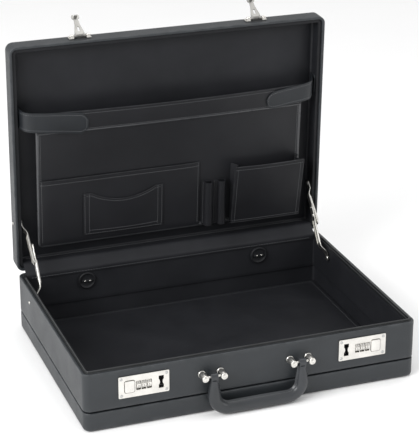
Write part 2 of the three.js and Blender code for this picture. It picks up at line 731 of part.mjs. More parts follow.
// The lid's rivet has a shoulder that holds its arm off the wall.
function stayLidRivet() {
  const shoulder = [
    [RIVET_R, ARM_WALL_X + ARM_SHEET + GAP],
    [3.2, ARM_WALL_X + ARM_SHEET + GAP],
    [3.2, SIDE - LINER_IN - GAP],
    [RIVET_R, SIDE - LINER_IN - GAP],
  ];
  const profile = [...innerHead(ARM_WALL_X - GAP), ...shoulder, ...OUTER_HEAD];
  return turned(profile, "x", [0, STAY_LID.x, STAY_LID.y], 12);
}

function elbowRivet() {
  const tail = [
    [RIVET_R, LOWER_X + ARM_SHEET + 0.2],
    [0, LOWER_X + ARM_SHEET + 0.2],
  ];
  return turned([...innerHead(LOWER_X - GAP), ...tail], "x", [0, LOWER_ARM, 0], 12);
}

// ---------------------------------------------------------------- expansion knobs

// A dished disc with a raised ring, a thumb bar across it and a shaft through the liner.
function expansionKnob() {
  const face = BACK - LINER_IN - GAP;
  const profile = [
    [0, face - 1.6],
    [KNOB_R - 3, face - 1.6],
    [KNOB_R - 2.2, face - KNOB_PROUD],
    [KNOB_R - 0.6, face - KNOB_PROUD],
    [KNOB_R, face - 2.6],
    [KNOB_R, face],
    [KNOB_SHAFT_R, face],
    [KNOB_SHAFT_R, face + 2],
    [0, face + 2],
  ];
  const barShape = placed(roundedRectangle(KNOB_BAR.length, KNOB_BAR.width, 2), KNOB_X, KNOB_Z);
  const bar = frontPlate(barShape, face - 1, KNOB_PROUD);
  return join(turned(profile, "y", [KNOB_X, 0, KNOB_Z], 16), bar);
}

// ---------------------------------------------------------------- lid

const LID_MOUTH = RIM_Z + GAP;
const LID_TOP = RIM_Z + LID_THICKNESS;

function lidShell() {
  const outside = softSlab(LID_EDGE_R, RIM_Z - LID_THICKNESS, LID_TOP).intersect(
    softSlab(LIP_R, LID_MOUTH, LID_TOP + LID_THICKNESS),
  );
  const hollow = slab(BOARD, LID_MOUTH - 1, LID_TOP - FLOOR);
  return cut(outside, hollow, knuckleRoom(), sideHoles(STAY_LID, RIVET_R + GAP));
}

function lidRim() {
  return ring(SLEEVE_OUT, RIM_IN, RIM_Z + 3, RIM_Z + 5.6);
}

// The padded lining: one tray that covers the inside of the lid's walls and top.
function lidLining() {
  const top = LID_TOP - FLOOR - GAP;
  const lined = cut(slab(SLEEVE_OUT, RIM_Z + 5.9, top), slab(LINER_IN, RIM_Z, top - 2));
  return cut(lined, sideHoles(STAY_LID, RIVET_R + GAP));
}

// A leather tab on each side wall of the lid, where an organizer strap ends.
function strapAnchor() {
  const wall = SIDE - LINER_IN - GAP;
  const up = BACK - PANEL_FOOT - STRAP_END_FOOT;
  return box([wall - ANCHOR_SHEET, wall], [up - STRAP_END_WIDTH, up], ANCHOR_Z);
}

// ---------------------------------------------------------------- organizer

// A shape drawn across and up the panel, standing out of it between two heights above its front face.
function onPanel(shape, low, high) {
  return solid(extrude(shape, high - low, 8).rotateX(Math.PI).translate(0, 0, -low));
}

const block = ([x0, x1], [up0, up1], [low, high]) => box([x0, x1], [-up1, -up0], [-high, -low]);

function organizerPanel() {
  const outline = placed(roundedRectangle(2 * PANEL_HALF, PANEL_HEIGHT, 4), 0, PANEL_HEIGHT / 2);
  const band = [PANEL_HEIGHT - BAND_HEIGHT, PANEL_HEIGHT - 1];
  return join(onPanel(outline, -PANEL_SHEET, 0), block([-PANEL_HALF, PANEL_HALF], band, [-0.5, BAND_SHEET]));
}

// A pocket sheet held off the surface behind it by a seam along its foot and both sides.
function flatPocket({ left, right, height, hollow, sheet }, foot, behind) {
  const low = behind + GAP;
  const whole = block([left, right], [foot, foot + height], [low, low + hollow + sheet]);
  const between = [left + sheet, right - sheet];
  return cut(whole, block(between, [foot + sheet, foot + height + 1], [low - 1, low + hollow]));
}

const POCKET_FOOT = 2;
const documentPocket = () => flatPocket(DOCUMENT_POCKET, POCKET_FOOT, 0);

// The card pocket lies on the document pocket, its mouth dipped in the middle.
function cardPocket() {
  const { left, right, foot, height, dip, hollow, sheet } = CARD_POCKET;
  const behind = GAP + DOCUMENT_POCKET.hollow + DOCUMENT_POCKET.sheet;
  const middle = (left + right) / 2;
  const mouth = foot + height;
  const scoop = new THREE.Shape();
  scoop.moveTo(left + 12, mouth + 1);
  scoop.quadraticCurveTo(middle, mouth - 2 * dip, right - 12, mouth + 1);
  const clear = onPanel(scoop, behind, behind + hollow + sheet + 2);
  return cut(flatPocket(CARD_POCKET, foot, behind), clear);
}

// Two sleeves, open at the top, on one backing.
function penHolder() {
  const low = GAP;
  const axis = low + PEN_SLEEVE_R;
  const foot = POCKET_FOOT;
  const sleeves = PEN_X.map((x) => rod(PEN_SLEEVE_R, -foot - PEN_HEIGHT, -foot, "y", [x, 0, -axis], 12));
  const bores = PEN_X.map((x) => rod(PEN_BORE_R, -foot - PEN_HEIGHT - 1, -foot - 3, "y", [x, 0, -axis], 12));
  const backing = block([PEN_X[0] - 8, PEN_X[1] + 8], [foot, foot + PEN_HEIGHT], [low, low + 1.2]);
  return cut(join(backing, ...sleeves), ...bores);
}

// A bellows pocket: front, sides and foot of one sheet, deeper at its mouth.
function gussetPocket() {
  const { left, right, height, footDepth, mouthDepth, sheet } = GUSSET_POCKET;
  const wedge = (inset, foot, mouth) =>
    polygon([
      [-foot, -GAP + inset],
      [-foot, -footDepth + inset],
      [-mouth, -mouthDepth + inset],
      [-mouth, -GAP + inset],
    ]);
  const outside = sidePlate(wedge(0, POCKET_FOOT, height), left, right - left);
  const hollow = wedge(sheet, POCKET_FOOT + sheet, height + 1);
  return cut(outside, sidePlate(hollow, left + sheet, right - left - 2 * sheet));
}

const STRAP_LOW = BAND_SHEET + GAP;

// The left strap's end is cut to a blunt point. Both straps rise towards the side walls.
function strapLeft() {
  const { tip, foot, width } = STRAP_LEFT;
  const shape = polygon([
    [-STRAP_END, STRAP_END_FOOT],
    [tip - 9, foot],
    [tip, foot + 8],
    [tip, foot + width - 8],
    [tip - 9, foot + width],
    [-STRAP_END, STRAP_END_FOOT + STRAP_END_WIDTH],
  ]);
  return onPanel(shape, STRAP_LOW, STRAP_LOW + STRAP_SHEET);
}

// The right strap's end is round.
function strapRight() {
  const { tip, foot, width } = STRAP_RIGHT;
  const radius = width / 2;
  const shape = new THREE.Shape();
  shape.moveTo(STRAP_END, STRAP_END_FOOT);
  shape.lineTo(STRAP_END, STRAP_END_FOOT + STRAP_END_WIDTH);
  shape.absarc(tip + radius, foot + radius, radius, Math.PI / 2, Math.PI * 1.5);
  return onPanel(shape, STRAP_LOW, STRAP_LOW + STRAP_SHEET);
}

// ---------------------------------------------------------------- assembly

addPiece(attacheCase, "tray_shell", trayShell(), leather());
addPiece(attacheCase, "expansion_sleeve", expansionSleeve(), trim());
addPiece(attacheCase, "tray_floor_lining", trayFloorLining(), lining());

addPiece(attacheCase, "frame_shell", frameShell(), leather());
addPiece(attacheCase, "frame_liner", frameLiner(), lining());
addPiece(attacheCase, "base_rim", baseRim(), trim());
addPiece(attacheCase, "hinge_flap", hingeFlap(), lining());
addPair(attacheCase, "hinge_leaf_base", hingeLeafBase(), nickel);
addPair(attacheCase, "expansion_knob", expansionKnob(), trim);

addPair(attacheCase, "lock_plate", lockPlate(), nickel);
addPair(attacheCase, "lock_case", lockCase(), nickel);
addPair(attacheCase, "latch_button", latchButton(), nickel);
DIAL_X.forEach((x, i) => addPair(attacheCase, `dial_${i + 1}`, dial(x), nickel));

addPair(attacheCase, "handle_post_inner", handlePost(POST_X[0]), nickel);
addPair(attacheCase, "handle_post_outer", handlePost(POST_X[1]), nickel);
addPair(attacheCase, "handle_pin", handlePin(), nickel);
addPair(attacheCase, "handle_lug", handleLug(), trim);
addPiece(attacheCase, "handle_grip", handleGrip(), leather());

const { elbow, top } = stayElbow();
const lowerAngle = elbow.clone().sub(STAY_BASE).angle();
const upperAngle = elbow.clone().sub(top).angle() + LID_OPEN;
addPair(attacheCase, "stay_base_rivet", stayBaseRivet(), nickel);
addPair(lid, "stay_lid_rivet", stayLidRivet(), nickel);
const lowerPieces = [
  ...addPair(attacheCase, "stay_lower", stayLower(), nickel),
  ...addPair(attacheCase, "stay_elbow_rivet", elbowRivet(), nickel),
];
lowerPieces.forEach((piece) => {
  piece.position.set(0, STAY_BASE.x, STAY_BASE.y);
  piece.rotation.x = lowerAngle;
});
addPair(lid, "stay_upper", stayUpper(), nickel).forEach((piece) => {
  piece.position.set(0, STAY_LID.x, STAY_LID.y);
  piece.rotation.x = upperAngle;
});

addPiece(lid, "lid_shell", lidShell(), leather());
addPiece(lid, "lid_rim", lidRim(), trim());
addPiece(lid, "lid_lining", lidLining(), lining());
addPair(lid, "hinge_leaf_lid", hingeLeafLid(), nickel);
addPair(lid, "strap_anchor", strapAnchor(), leather);
addPair(lid, "hasp_plate", haspPlate(), nickel);
addPair(lid, "hasp", hasp(), nickel).forEach((piece) => {
  piece.position.set(0, HASP_Y, HASP_Z);
  piece.rotation.x = -HASP_OPEN;
});

addPiece(organizer, "organizer_panel", organizerPanel(), leather());
addPiece(organizer, "document_pocket", documentPocket(), leather());
addPiece(organizer, "card_pocket", cardPocket(), leather());
addPiece(organizer, "pen_holder", penHolder(), leather());
addPiece(organizer, "gusset_pocket", gussetPocket(), leather());
addPiece(organizer, "strap_left", strapLeft(), leather());
addPiece(organizer, "strap_right", strapRight(), leather());

export default attacheCase;
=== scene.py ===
"""The looks of an open, expandable attache case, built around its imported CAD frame.

Shapes are written in millimetres and turned into metres when a piece is made. X is the width, Y the depth
with the handle at -Y, and Z is up. Pieces of the lid are written in the closed case's coordinates and then
turned open about the hinges; pieces of the organizer are written across, up and out from its panel.
"""

import math

import bmesh
import bpy
from mathutils import Matrix, Vector, noise
from mathutils.geometry import tessellate_polygon


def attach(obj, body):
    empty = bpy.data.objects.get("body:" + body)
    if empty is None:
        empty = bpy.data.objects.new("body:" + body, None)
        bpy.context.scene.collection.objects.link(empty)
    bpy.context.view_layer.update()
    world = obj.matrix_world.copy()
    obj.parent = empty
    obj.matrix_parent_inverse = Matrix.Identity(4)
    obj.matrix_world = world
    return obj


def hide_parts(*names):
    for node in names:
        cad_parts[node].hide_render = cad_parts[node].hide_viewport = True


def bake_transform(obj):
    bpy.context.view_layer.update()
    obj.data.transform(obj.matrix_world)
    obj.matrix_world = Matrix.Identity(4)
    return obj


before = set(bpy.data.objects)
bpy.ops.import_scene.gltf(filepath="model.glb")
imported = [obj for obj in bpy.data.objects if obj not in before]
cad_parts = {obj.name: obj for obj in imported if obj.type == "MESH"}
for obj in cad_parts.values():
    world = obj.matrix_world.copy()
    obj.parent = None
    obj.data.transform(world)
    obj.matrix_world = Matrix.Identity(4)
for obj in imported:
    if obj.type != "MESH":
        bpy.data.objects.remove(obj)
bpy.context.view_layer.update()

MM = 0.001

# ---------------------------------------------------------------- driving dimensions, in millimetres

HALF_WIDTH = 225.0
HALF_DEPTH = 162.5
CORNER_R = 10.0
BOARD = 4.0
LIP_R = 1.2
RIM_OUTER = 4.3
RIM_INNER = 9.0
LINING_INSET = 8.6
TRAY_TOP = 26.0
FRAME_BOTTOM = 28.2
RIM_Z = 80.0
FRAME_TOP = RIM_Z - 0.3
LID_TOP = RIM_Z + 28.0
LID_OPEN = math.radians(88)
HINGE_Y = HALF_DEPTH + 1.2
FRONT = -HALF_DEPTH
BACK = HALF_DEPTH

LOCK_Z = 56.0
PLATE_BACK = FRONT - 0.3
PLATE_FRONT = PLATE_BACK - 1.2
LOCK_MIDDLE = 148.0
LOCK_LENGTH = 66.0
LOCK_HEIGHT = 29.6
LOCK_WINDOW_X = 147.3
DIAL_X = (141.0, 148.0, 155.0)
DIAL_R = 7.0
DIAL_WIDTH = 5.4
DIAL_Y = PLATE_FRONT - 1.3 + DIAL_R
BUTTON_X = 166.6
SLOT_X = 125.5

POST_X = (47.0, 72.0)
POST_R = 4.5
POST_TIP = FRONT - 17.3
PIN_Y = FRONT - 11.5
HANDLE_X = 59.5
GRIP_Z = LOCK_Z - 46.5
GRIP_R = 8.4
GRIP_BEND_R = 20.0

HASP_Y = FRONT - 4.1
HASP_Z = RIM_Z + 11.0
HASP_OPEN = math.radians(142)
HASP_REACH = 32.5

STAY_BASE = Vector((0, 100.0, 63.0))
STAY_LID = Vector((0, BACK - 68.0, RIM_Z + 15.0))
LOWER_ARM = 64.3
UPPER_ARM = 52.0
ARM_WIDTH = 9.0
ARM_SHEET = 1.6
ARM_WALL_X = 213.5
LOWER_X = 206.3
UPPER_X = 208.5

KNOB_X = 129.0
KNOB_Z = 59.0
KNOB_R = 12.5
HINGE_X = 140.0
HINGE_LENGTH = 42.0

PANEL_FOOT_Y = BACK - 31.0
PANEL_HALF = 192.0
PANEL_HEIGHT = 198.0
BAND_HEIGHT = 29.0
STRAP_END_FOOT = 180.0
STRAP_END_WIDTH = 26.0

# ---------------------------------------------------------------- places

CLOSED_TO_OPEN = (
    Matrix.Translation((0, HINGE_Y, RIM_Z))
    @ Matrix.Rotation(-LID_OPEN, 4, "X")
    @ Matrix.Translation((0, -HINGE_Y, -RIM_Z))
)
WORLD = Matrix.Identity(4)
# On the organizer, a point is (across, up, out of the front).
ORGANIZER = (
    CLOSED_TO_OPEN
    @ Matrix.Translation((0, PANEL_FOOT_Y, RIM_Z + 5.0))
    @ Matrix.Rotation(math.radians(1.74), 4, "X")
    @ Matrix(((1, 0, 0, 0), (0, -1, 0, 0), (0, 0, -1, 0), (0, 0, 0, 1)))
)
HASP_PLACE = (
    CLOSED_TO_OPEN @ Matrix.Translation((0, HASP_Y, HASP_Z)) @ Matrix.Rotation(-HASP_OPEN, 4, "X")
)


def arm_place(pivot, towards):
    """The place of a stay's arm: its pivot at the origin, and its length along Y."""
    way = towards - pivot
    return Matrix.Translation(pivot) @ Matrix.Rotation(math.atan2(way.z, way.y), 4, "X")


def stay_elbow(base, top):
    """Where the two arms of an open stay meet, on the side that it folds towards."""
    span = top - base
    reach = span.length
    along = (LOWER_ARM**2 - UPPER_ARM**2 + reach**2) / (2 * reach)
    off = math.sqrt(LOWER_ARM**2 - along**2)
    unit = span / reach
    return base + unit * along + Vector((0, -unit.z, unit.y)) * off


STAY_TOP = CLOSED_TO_OPEN @ STAY_LID
ELBOW = stay_elbow(STAY_BASE, STAY_TOP)
LOWER_PLACE = arm_place(STAY_BASE, ELBOW)
UPPER_PLACE = arm_place(STAY_TOP, ELBOW)

# ---------------------------------------------------------------- mesh building


class Shape:
    """A mesh being put together from closed parts, in millimetres."""

    def __init__(self, place=WORLD, bend=None):
        self.place = place
        self.bend = bend
        self.points = []
        self.faces = []
        self.looks = []
        self.wear = []

    def placed(self, point):
        point = Vector(point)
        return self.place @ (self.bend(point) if self.bend else point)

    def add(self, points, faces, look=0, wear=0.0):
        start = len(self.points)
        self.points += [self.placed(p) for p in points]
        self.wear += list(wear) if isinstance(wear, (list, tuple)) else [wear] * len(points)
        self.faces += [[start + i for i in face] for face in faces]
        self.looks += [look] * len(faces)

    def loft(self, rows, look=0, wrap=False, wear=None):
        """Joins rows of points, each a closed loop. The ends are capped, or joined with wrap."""
        count = len(rows[0])
        steps = len(rows) if wrap else len(rows) - 1
        faces = []
        for i in range(steps):
            low, high = i * count, (i + 1) % len(rows) * count
            for j in range(count):
                k = (j + 1) % count
                faces.append([low + j, low + k, high + k, high + j])
        if not wrap:
            faces.append(list(range(count))[::-1])
            faces.append([(len(rows) - 1) * count + j for j in range(count)])
        worn = [w for w in wear for _ in range(count)] if wear else 0.0
        self.add([p for row in rows for p in row], faces, look, worn)

    def mirrored(self):
        other = Shape()
        other.points = [Vector((-p.x, p.y, p.z)) for p in self.points]
        other.faces = [face[::-1] for face in self.faces]
        other.looks, other.wear = self.looks, self.wear
        return other


def corner(cx, cy, radius, start, end, steps=4):
    """Points on an arc, angles in degrees."""
    found = []
    for i in range(steps + 1):
        angle = math.radians(start + (end - start) * i / steps)
        found.append((cx + radius * math.cos(angle), cy + radius * math.sin(angle)))
    return found


def rounded_loop(half_x, half_y, radius, steps=6, along_x=1, along_y=1):
    """Points round a rounded rectangle, with each straight side cut into equal parts."""
    x, y = half_x - radius, half_y - radius
    centres = ((x, -y, -90, along_y), (x, y, 0, along_x), (-x, y, 90, along_y), (-x, -y, 180, along_x))
    arcs = [corner(cx, cy, radius, start, start + 90, steps) for cx, cy, start, _ in centres]
    loop = []
    for i, arc in enumerate(arcs):
        loop += arc
        first, last, parts = arc[-1], arcs[(i + 1) % 4][0], centres[i][3]
        for k in range(1, parts):
            share = k / parts
            loop.append(tuple(a + (b - a) * share for a, b in zip(first, last)))
    return loop


def unevenness(x, y, z, size):
    """A smooth number from 0 to 1 that changes over about size millimetres."""
    return 0.5 + 0.5 * noise.noise(Vector((x, y, z)) / size)


def case_loop(inset, z, give=0.0):
    """The case's outline, drawn in from the outer face, with the leather's slight unevenness."""
    radius = max(CORNER_R - inset, 2.0)
    half_x, half_y = HALF_WIDTH - inset, HALF_DEPTH - inset
    row = []
    for x, y in rounded_loop(half_x, half_y, radius, 8, 36, 26):
        sunk = give * unevenness(x, y, z, 38.0)
        row.append((x * (1 - sunk / half_x), y * (1 - sunk / half_y), z))
    return row


def lofted_case(shape, profile, wrap=False, give=0.12):
    """Sweeps a wall's profile of (inset, height, wear) round the case."""
    rows = [case_loop(inset, z, give) for inset, z, _ in profile]
    shape.loft(rows, wrap=wrap, wear=[worn for _, _, worn in profile])


def level(height, insets):
    """Profile points at one height, with no wear."""
    return [(inset, height, 0.0) for inset in insets]


def line(start, end, parts):
    """Profile points from start to end, both included, with no wear."""
    ends = list(zip(start, end))
    return [tuple(a + (b - a) * i / parts for a, b in ends) + (0.0,) for i in range(parts + 1)]


def worn_corner(cx, cz, radius, start, end, steps=4, wear=1.0):
    """A rounded edge of a profile. The angle is measured from straight in, towards up."""
    middle = steps / 2
    return [
        (inset, z, wear * (1 - 0.6 * abs(i - middle) / middle))
        for i, (inset, z) in enumerate(corner(cx, cz, radius, start, end, steps))
    ]


def stack(shape, layers, half_x, half_y, radius, least_radius, steps, axes):
    """Layers of (inset, height) of a rounded rectangle. axes(a, b, c) places a point of it."""
    rows = []
    for inset, height in layers:
        loop = rounded_loop(half_x - inset, half_y - inset, max(radius - inset, least_radius), steps)
        rows.append([axes(a, b, height) for a, b in loop])
    shape.loft(rows)


def lathe(shape, profile, centre, axis="y", sides=28, look=0):
    """Turns a profile of (radius, distance) about an X or Y axis through centre."""
    rows = []
    for radius, along in profile:
        row = []
        for a, b in ellipse(max(radius, 0.001), max(radius, 0.001), sides):
            row.append(Vector(centre) + Vector((along, a, b) if axis == "x" else (a, along, b)))
        rows.append(row)
    shape.loft(rows, look)


def rod(shape, radius, start, end, centre, axis="x", sides=16):
    """A plain round bar between two distances along an axis through centre."""
    lathe(shape, [(radius, start), (radius, end)], centre, axis, sides)


def barrel(shape, radius, start, end, centre):
    """A knuckle along X with its edges broken."""
    ends = ((0, start), (radius - 0.4, start), (radius, start + 0.4))
    lathe(shape, ends + ((radius, end - 0.4), (radius - 0.4, end), (0, end)), centre, "x", 24)


def sweep(shape, path, side, section, look=0, wear=0.0):
    """Sweeps a section of (in the path's plane, along side) offsets down a path that lies in one plane."""
    last = len(path) - 1
    rows = []
    for i, point in enumerate(path):
        way = path[min(i + 1, last)] - path[max(i - 1, 0)]
        normal = side.cross(way.normalized())
        ring = section(i / last) if callable(section) else section
        rows.append([point + normal * a + side * b for a, b in ring])
    shape.loft(rows, look, wear=[wear] * len(path))


def ellipse(a, b, sides=12):
    turns = [2 * math.pi * k / sides for k in range(sides)]
    return [(a * math.cos(turn), b * math.sin(turn)) for turn in turns]


def front_axes(x, z):
    """Places a drawing of the front view: across, up, and the Y of the layer."""
    return lambda a, b, c: (x + a, c, z + b)


def side_axes(x=0.0, z=0.0):
    """Places a drawing of the side view: depth, up, and the X of the layer."""
    return lambda a, b, c: (x + c, a, z + b)


def plate(shape, outline, low, high, axes, holes=(), look=0):
    """A flat plate with holes. axes(a, b, c) places an outline point at a height c."""
    loops = [list(outline)] + [list(hole) for hole in holes]
    flat = [Vector((a, b, 0)) for loop in loops for a, b in loop]
    triangles = tessellate_polygon([[Vector((a, b, 0)) for a, b in loop] for loop in loops])
    count = len(flat)
    points = [axes(p.x, p.y, low) for p in flat] + [axes(p.x, p.y, high) for p in flat]
    faces = [list(t) for t in triangles] + [[i + count for i in reversed(t)] for t in triangles]
    start = 0
    for loop in loops:
        size = len(loop)
        for j in range(size):
            a, b = start + j, start + (j + 1) % size
            faces.append([a, b, b + count, a + count])
        start += size
    shape.add(points, faces, look)


def sheet(shape, surface, columns, rows, thickness):
    """A sheet with a closed skin. surface(s, t), both from 0 to 1, gives its middle."""
    grid = [across(surface, j / rows, columns) for j in range(rows + 1)]
    upper, lower = [], []
    for j, row in enumerate(grid):
        for i, point in enumerate(row):
            over = row[min(i + 1, columns)] - row[max(i - 1, 0)]
            up = grid[min(j + 1, rows)][i] - grid[max(j - 1, 0)][i]
            normal = over.cross(up).normalized() * thickness / 2
            upper.append(point + normal)
            lower.append(point - normal)
    count = len(upper)
    width = columns + 1
    faces = []
    for j in range(rows):
        for i in range(columns):
            a = j * width + i
            faces.append([a, a + 1, a + 1 + width, a + width])
            faces.append([count + a + width, count + a + 1 + width, count + a + 1, count + a])
    rim = list(range(width))
    rim += [j * width + columns for j in range(1, rows + 1)]
    rim += [rows * width + i for i in range(columns - 1, -1, -1)]
    rim += [j * width for j in range(rows - 1, 0, -1)]
    for a, b in zip(rim, rim[1:] + rim[:1]):
        faces.append([a, count + a, count + b, b])
    shape.add(upper + lower, faces)


def across(surface, t, parts, lift=(0, 0, 0)):
    """A row of points from side to side of a sheet, raised by lift."""
    return [Vector(surface(k / parts, t)) + Vector(lift) for k in range(parts + 1)]


def upward(surface, s, parts, lift=(0, 0, 0)):
    """A row of points from foot to top of a sheet, raised by lift."""
    return [Vector(surface(s, k / parts)) + Vector(lift) for k in range(parts + 1)]


def path_length(path):
    return sum((b - a).length for a, b in zip(path, path[1:]))


def walk(path, distance):
    """The point that far along a path of straight parts."""
    for a, b in zip(path, path[1:]):
        step = (b - a).length
        if distance <= step and step > 0:
            return a.lerp(b, distance / step)
        distance -= step
    return path[-1]


def stitches(shape, path, up, look=0, pitch=3.3, length=2.3, radius=0.34):
    """A row of thread along a path: each stitch is a small spindle, half sunk in the surface."""
    path = [Vector(p) for p in path]
    total = path_length(path)
    count = max(int(total / pitch), 1)
    gap = total / count
    for i in range(count):
        start = walk(path, i * gap + (gap - length) / 2)
        end = walk(path, i * gap + (gap + length) / 2)
        way = (end - start).normalized()
        side = way.cross(up).normalized()
        rows = []
        for share, size, lift in ((0, 0.4, -0.4), (0.2, 0.9, 0.1), (0.8, 0.9, 0.1), (1, 0.4, -0.4)):
            middle = start.lerp(end, share) + up * radius * lift
            rows.append([middle + (side * a + up * b) * radius * size for a, b in ellipse(1, 1, 5)])
        shape.loft(rows, look)


def make(name, shape, looks, body=None, slot=None, replaces=(), bevel=0.0, angle=38):
    """Turns a shape into a piece: welded, faces outwards, with its materials and body."""
    mesh = bpy.data.meshes.new(name)
    mesh.from_pydata([p * MM for p in shape.points], [], shape.faces)
    for look in looks:
        mesh.materials.append(look)
    mesh.polygons.foreach_set("material_index", shape.looks)
    mesh.attributes.new("wear", "FLOAT", "POINT").data.foreach_set("value", shape.wear)
    work = bmesh.new()
    work.from_mesh(mesh)
    bmesh.ops.remove_doubles(work, verts=work.verts, dist=2e-6)
    bmesh.ops.recalc_face_normals(work, faces=work.faces)
    work.to_mesh(mesh)
    work.free()
    mesh.shade_smooth()
    mesh.set_sharp_from_angle(angle=math.radians(angle))
    piece = bpy.data.objects.new(name, mesh)
    bpy.context.scene.collection.objects.link(piece)
    if bevel:
        soft = piece.modifiers.new("edges", "BEVEL")
        soft.width = bevel * MM
        soft.segments = 2
        soft.limit_method = "ANGLE"
        soft.angle_limit = math.radians(40)
        soft.harden_normals = True
    if body:
        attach(piece, body)
    if replaces:
        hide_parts(*replaces)
    return piece


def make_pair(name, shape, looks, body, slot, replaces, **how):
    """A right-hand piece and its mirror image. A %s in the body stands for the side."""
    for side, each in (("right", shape), ("left", shape.mirrored())):
        nodes = [f"{node}_{side}" for node in replaces]
        on = body % side if "%s" in body else body
        make(f"{name}_{side}", each, looks, on, slot, nodes, **how)


def apply_modifiers(piece):
    """Makes the modifiers' result the piece's own mesh."""
    seen = piece.evaluated_get(bpy.context.evaluated_depsgraph_get())
    mesh = bpy.data.meshes.new_from_object(seen)
    old = piece.data
    piece.modifiers.clear()
    piece.data = mesh
    bpy.data.meshes.remove(old)


def cut(piece, cutter_shape):
    """Takes the cutter's volume out of a piece."""
    cutter = make("cutter", cutter_shape, [])
    knife = piece.modifiers.new("cut", "BOOLEAN")
    knife.operation = "DIFFERENCE"
    knife.solver = "EXACT"
    knife.object = cutter
    apply_modifiers(piece)
    bpy.data.objects.remove(cutter)

# ---------------------------------------------------------------- materials


class Look:
    """A node material being put together round one Principled shader."""

    def __init__(self, name, **sockets):
        self.material = bpy.data.materials.new(name)
        self.material.use_nodes = True
        self.tree = self.material.node_tree
        self.shader = self.tree.nodes["Principled BSDF"]
        for socket, value in sockets.items():
            self.shader.inputs[socket.replace("_", " ")].default_value = value
        self.place = self.node("ShaderNodeTexCoord").outputs["Object"]

    def node(self, kind, inputs=None, **settings):
        made = self.tree.nodes.new(kind)
        for key, value in settings.items():
            setattr(made, key, value)
        for key, value in (inputs or {}).items():
            if isinstance(value, bpy.types.NodeSocket):
                self.tree.links.new(value, made.inputs[key])
            else:
                made.inputs[key].default_value = value
        return made

    def set(self, socket, value):
        self.tree.links.new(value, self.shader.inputs[socket])

    def noise(self, scale, detail=3.0, roughness=0.55, vector=None):
        settings = {"Vector": vector or self.place, "Scale": scale}
        settings |= {"Detail": detail, "Roughness": roughness}
        return self.node("ShaderNodeTexNoise", settings).outputs["Fac"]

    def cells(self, scale, feature, vector):
        settings = {"Vector": vector, "Scale": scale}
        return self.node("ShaderNodeTexVoronoi", settings, feature=feature).outputs["Distance"]

    def span(self, value, low, high, to_low=0.0, to_high=1.0):
        settings = {"Value": value, "From Min": low, "From Max": high, "To Min": to_low, "To Max": to_high}
        return self.node("ShaderNodeMapRange", settings).outputs["Result"]

    def sum(self, a, b, operation="ADD"):
        return self.node("ShaderNodeMath", {0: a, 1: b}, operation=operation).outputs["Value"]

    def product(self, a, b):
        return self.sum(a, b, "MULTIPLY")

    def mix(self, share, dark, light):
        made = self.node("ShaderNodeMix", data_type="RGBA")
        for key, kind, value in (("Factor", "VALUE", share), ("A", "RGBA", dark), ("B", "RGBA", light)):
            socket = next(s for s in made.inputs if s.name == key and s.type == kind)
            if isinstance(value, bpy.types.NodeSocket):
                self.tree.links.new(value, socket)
            else:
                socket.default_value = value
        return next(s for s in made.outputs if s.type == "RGBA")

    def worn(self):
        """How worn each point is, broken up by noise."""
        edge = self.node("ShaderNodeAttribute", attribute_name="wear").outputs["Fac"]
        return self.product(edge, self.span(self.noise(90, 4), 0.35, 0.7))

    def bump(self, height, strength, distance):
        settings = {"Height": height, "Strength": strength, "Distance": distance}
        self.set("Normal", self.node("ShaderNodeBump", settings).outputs["Normal"])


RUBBED = (0.07, 0.073, 0.078, 1)


def shade(colour, factor):
    """A colour made lighter or darker by a factor."""
    return tuple(min(c * factor, 1) for c in colour[:3]) + (1,)


def leather(name, dark, light, grain, rough=(0.4, 0.55), depth=0.5, shine=0.5):
    """Grained leather: pebbles with creases between them, uneven dye, and edges rubbed paler."""
    look = Look(name, Specular_IOR_Level=shine)
    warp = look.node("ShaderNodeTexNoise", {"Vector": look.place, "Scale": grain * 0.35}).outputs["Color"]
    bending = {"Fac": 0.0022, "Color1": look.place, "Color2": warp}
    bent = look.node("ShaderNodeMixRGB", bending).outputs["Color"]
    pebbles = look.cells(grain, "SMOOTH_F1", bent)
    creases = look.cells(grain * 0.62, "DISTANCE_TO_EDGE", bent)
    crease = look.span(creases, 0.0, 0.09)
    domes = look.product(look.span(pebbles, 0.0, 0.6, 1.0, 0.0), crease)
    height = look.sum(domes, look.noise(grain * 2.4))
    worn = look.worn()
    colour = look.mix(look.span(look.noise(14, 4), 0.3, 0.7), dark, light)
    look.set("Base Color", look.mix(look.product(worn, 0.55), colour, RUBBED))
    gloss = look.span(look.sum(look.noise(22, 3), look.noise(grain, 2)), 0.7, 1.3, rough[0], rough[1])
    look.set("Roughness", look.sum(gloss, look.product(worn, 0.12), "SUBTRACT"))
    look.bump(height, depth, 0.00012)
    return look.material


def metal(name, colour, rough, brushed=0.0):
    """Plated metal: uneven polish, faint scratches, and fine drawn lines where it is brushed."""
    look = Look(name, Metallic=1.0)
    stretch = {"Vector": look.place, "Scale": (1.0, 30.0, 30.0)}
    lines = look.noise(160, 3, 0.6, look.node("ShaderNodeMapping", stretch).outputs["Vector"])
    cloud = look.noise(60, 4)
    look.set("Base Color", look.mix(look.span(cloud, 0.35, 0.7), colour, shade(colour, 0.86)))
    look.set("Roughness", look.span(look.sum(cloud, lines), 0.7, 1.3, rough[0], rough[1]))
    drawn = look.product(lines, brushed)
    scratches = look.product(look.noise(900, 2), 0.04)
    look.bump(look.sum(drawn, scratches), 0.35, 0.00006)
    return look.material


def thread(name, colour):
    """Waxed sewing thread, with its twist."""
    look = Look(name, Roughness=0.5)
    twist = look.node("ShaderNodeTexWave", {"Vector": look.place, "Scale": 900.0, "Distortion": 1.5})
    look.set("Base Color", look.mix(twist.outputs["Fac"], colour, shade(colour, 1.7)))
    look.bump(twist.outputs["Fac"], 0.4, 0.0001)
    return look.material


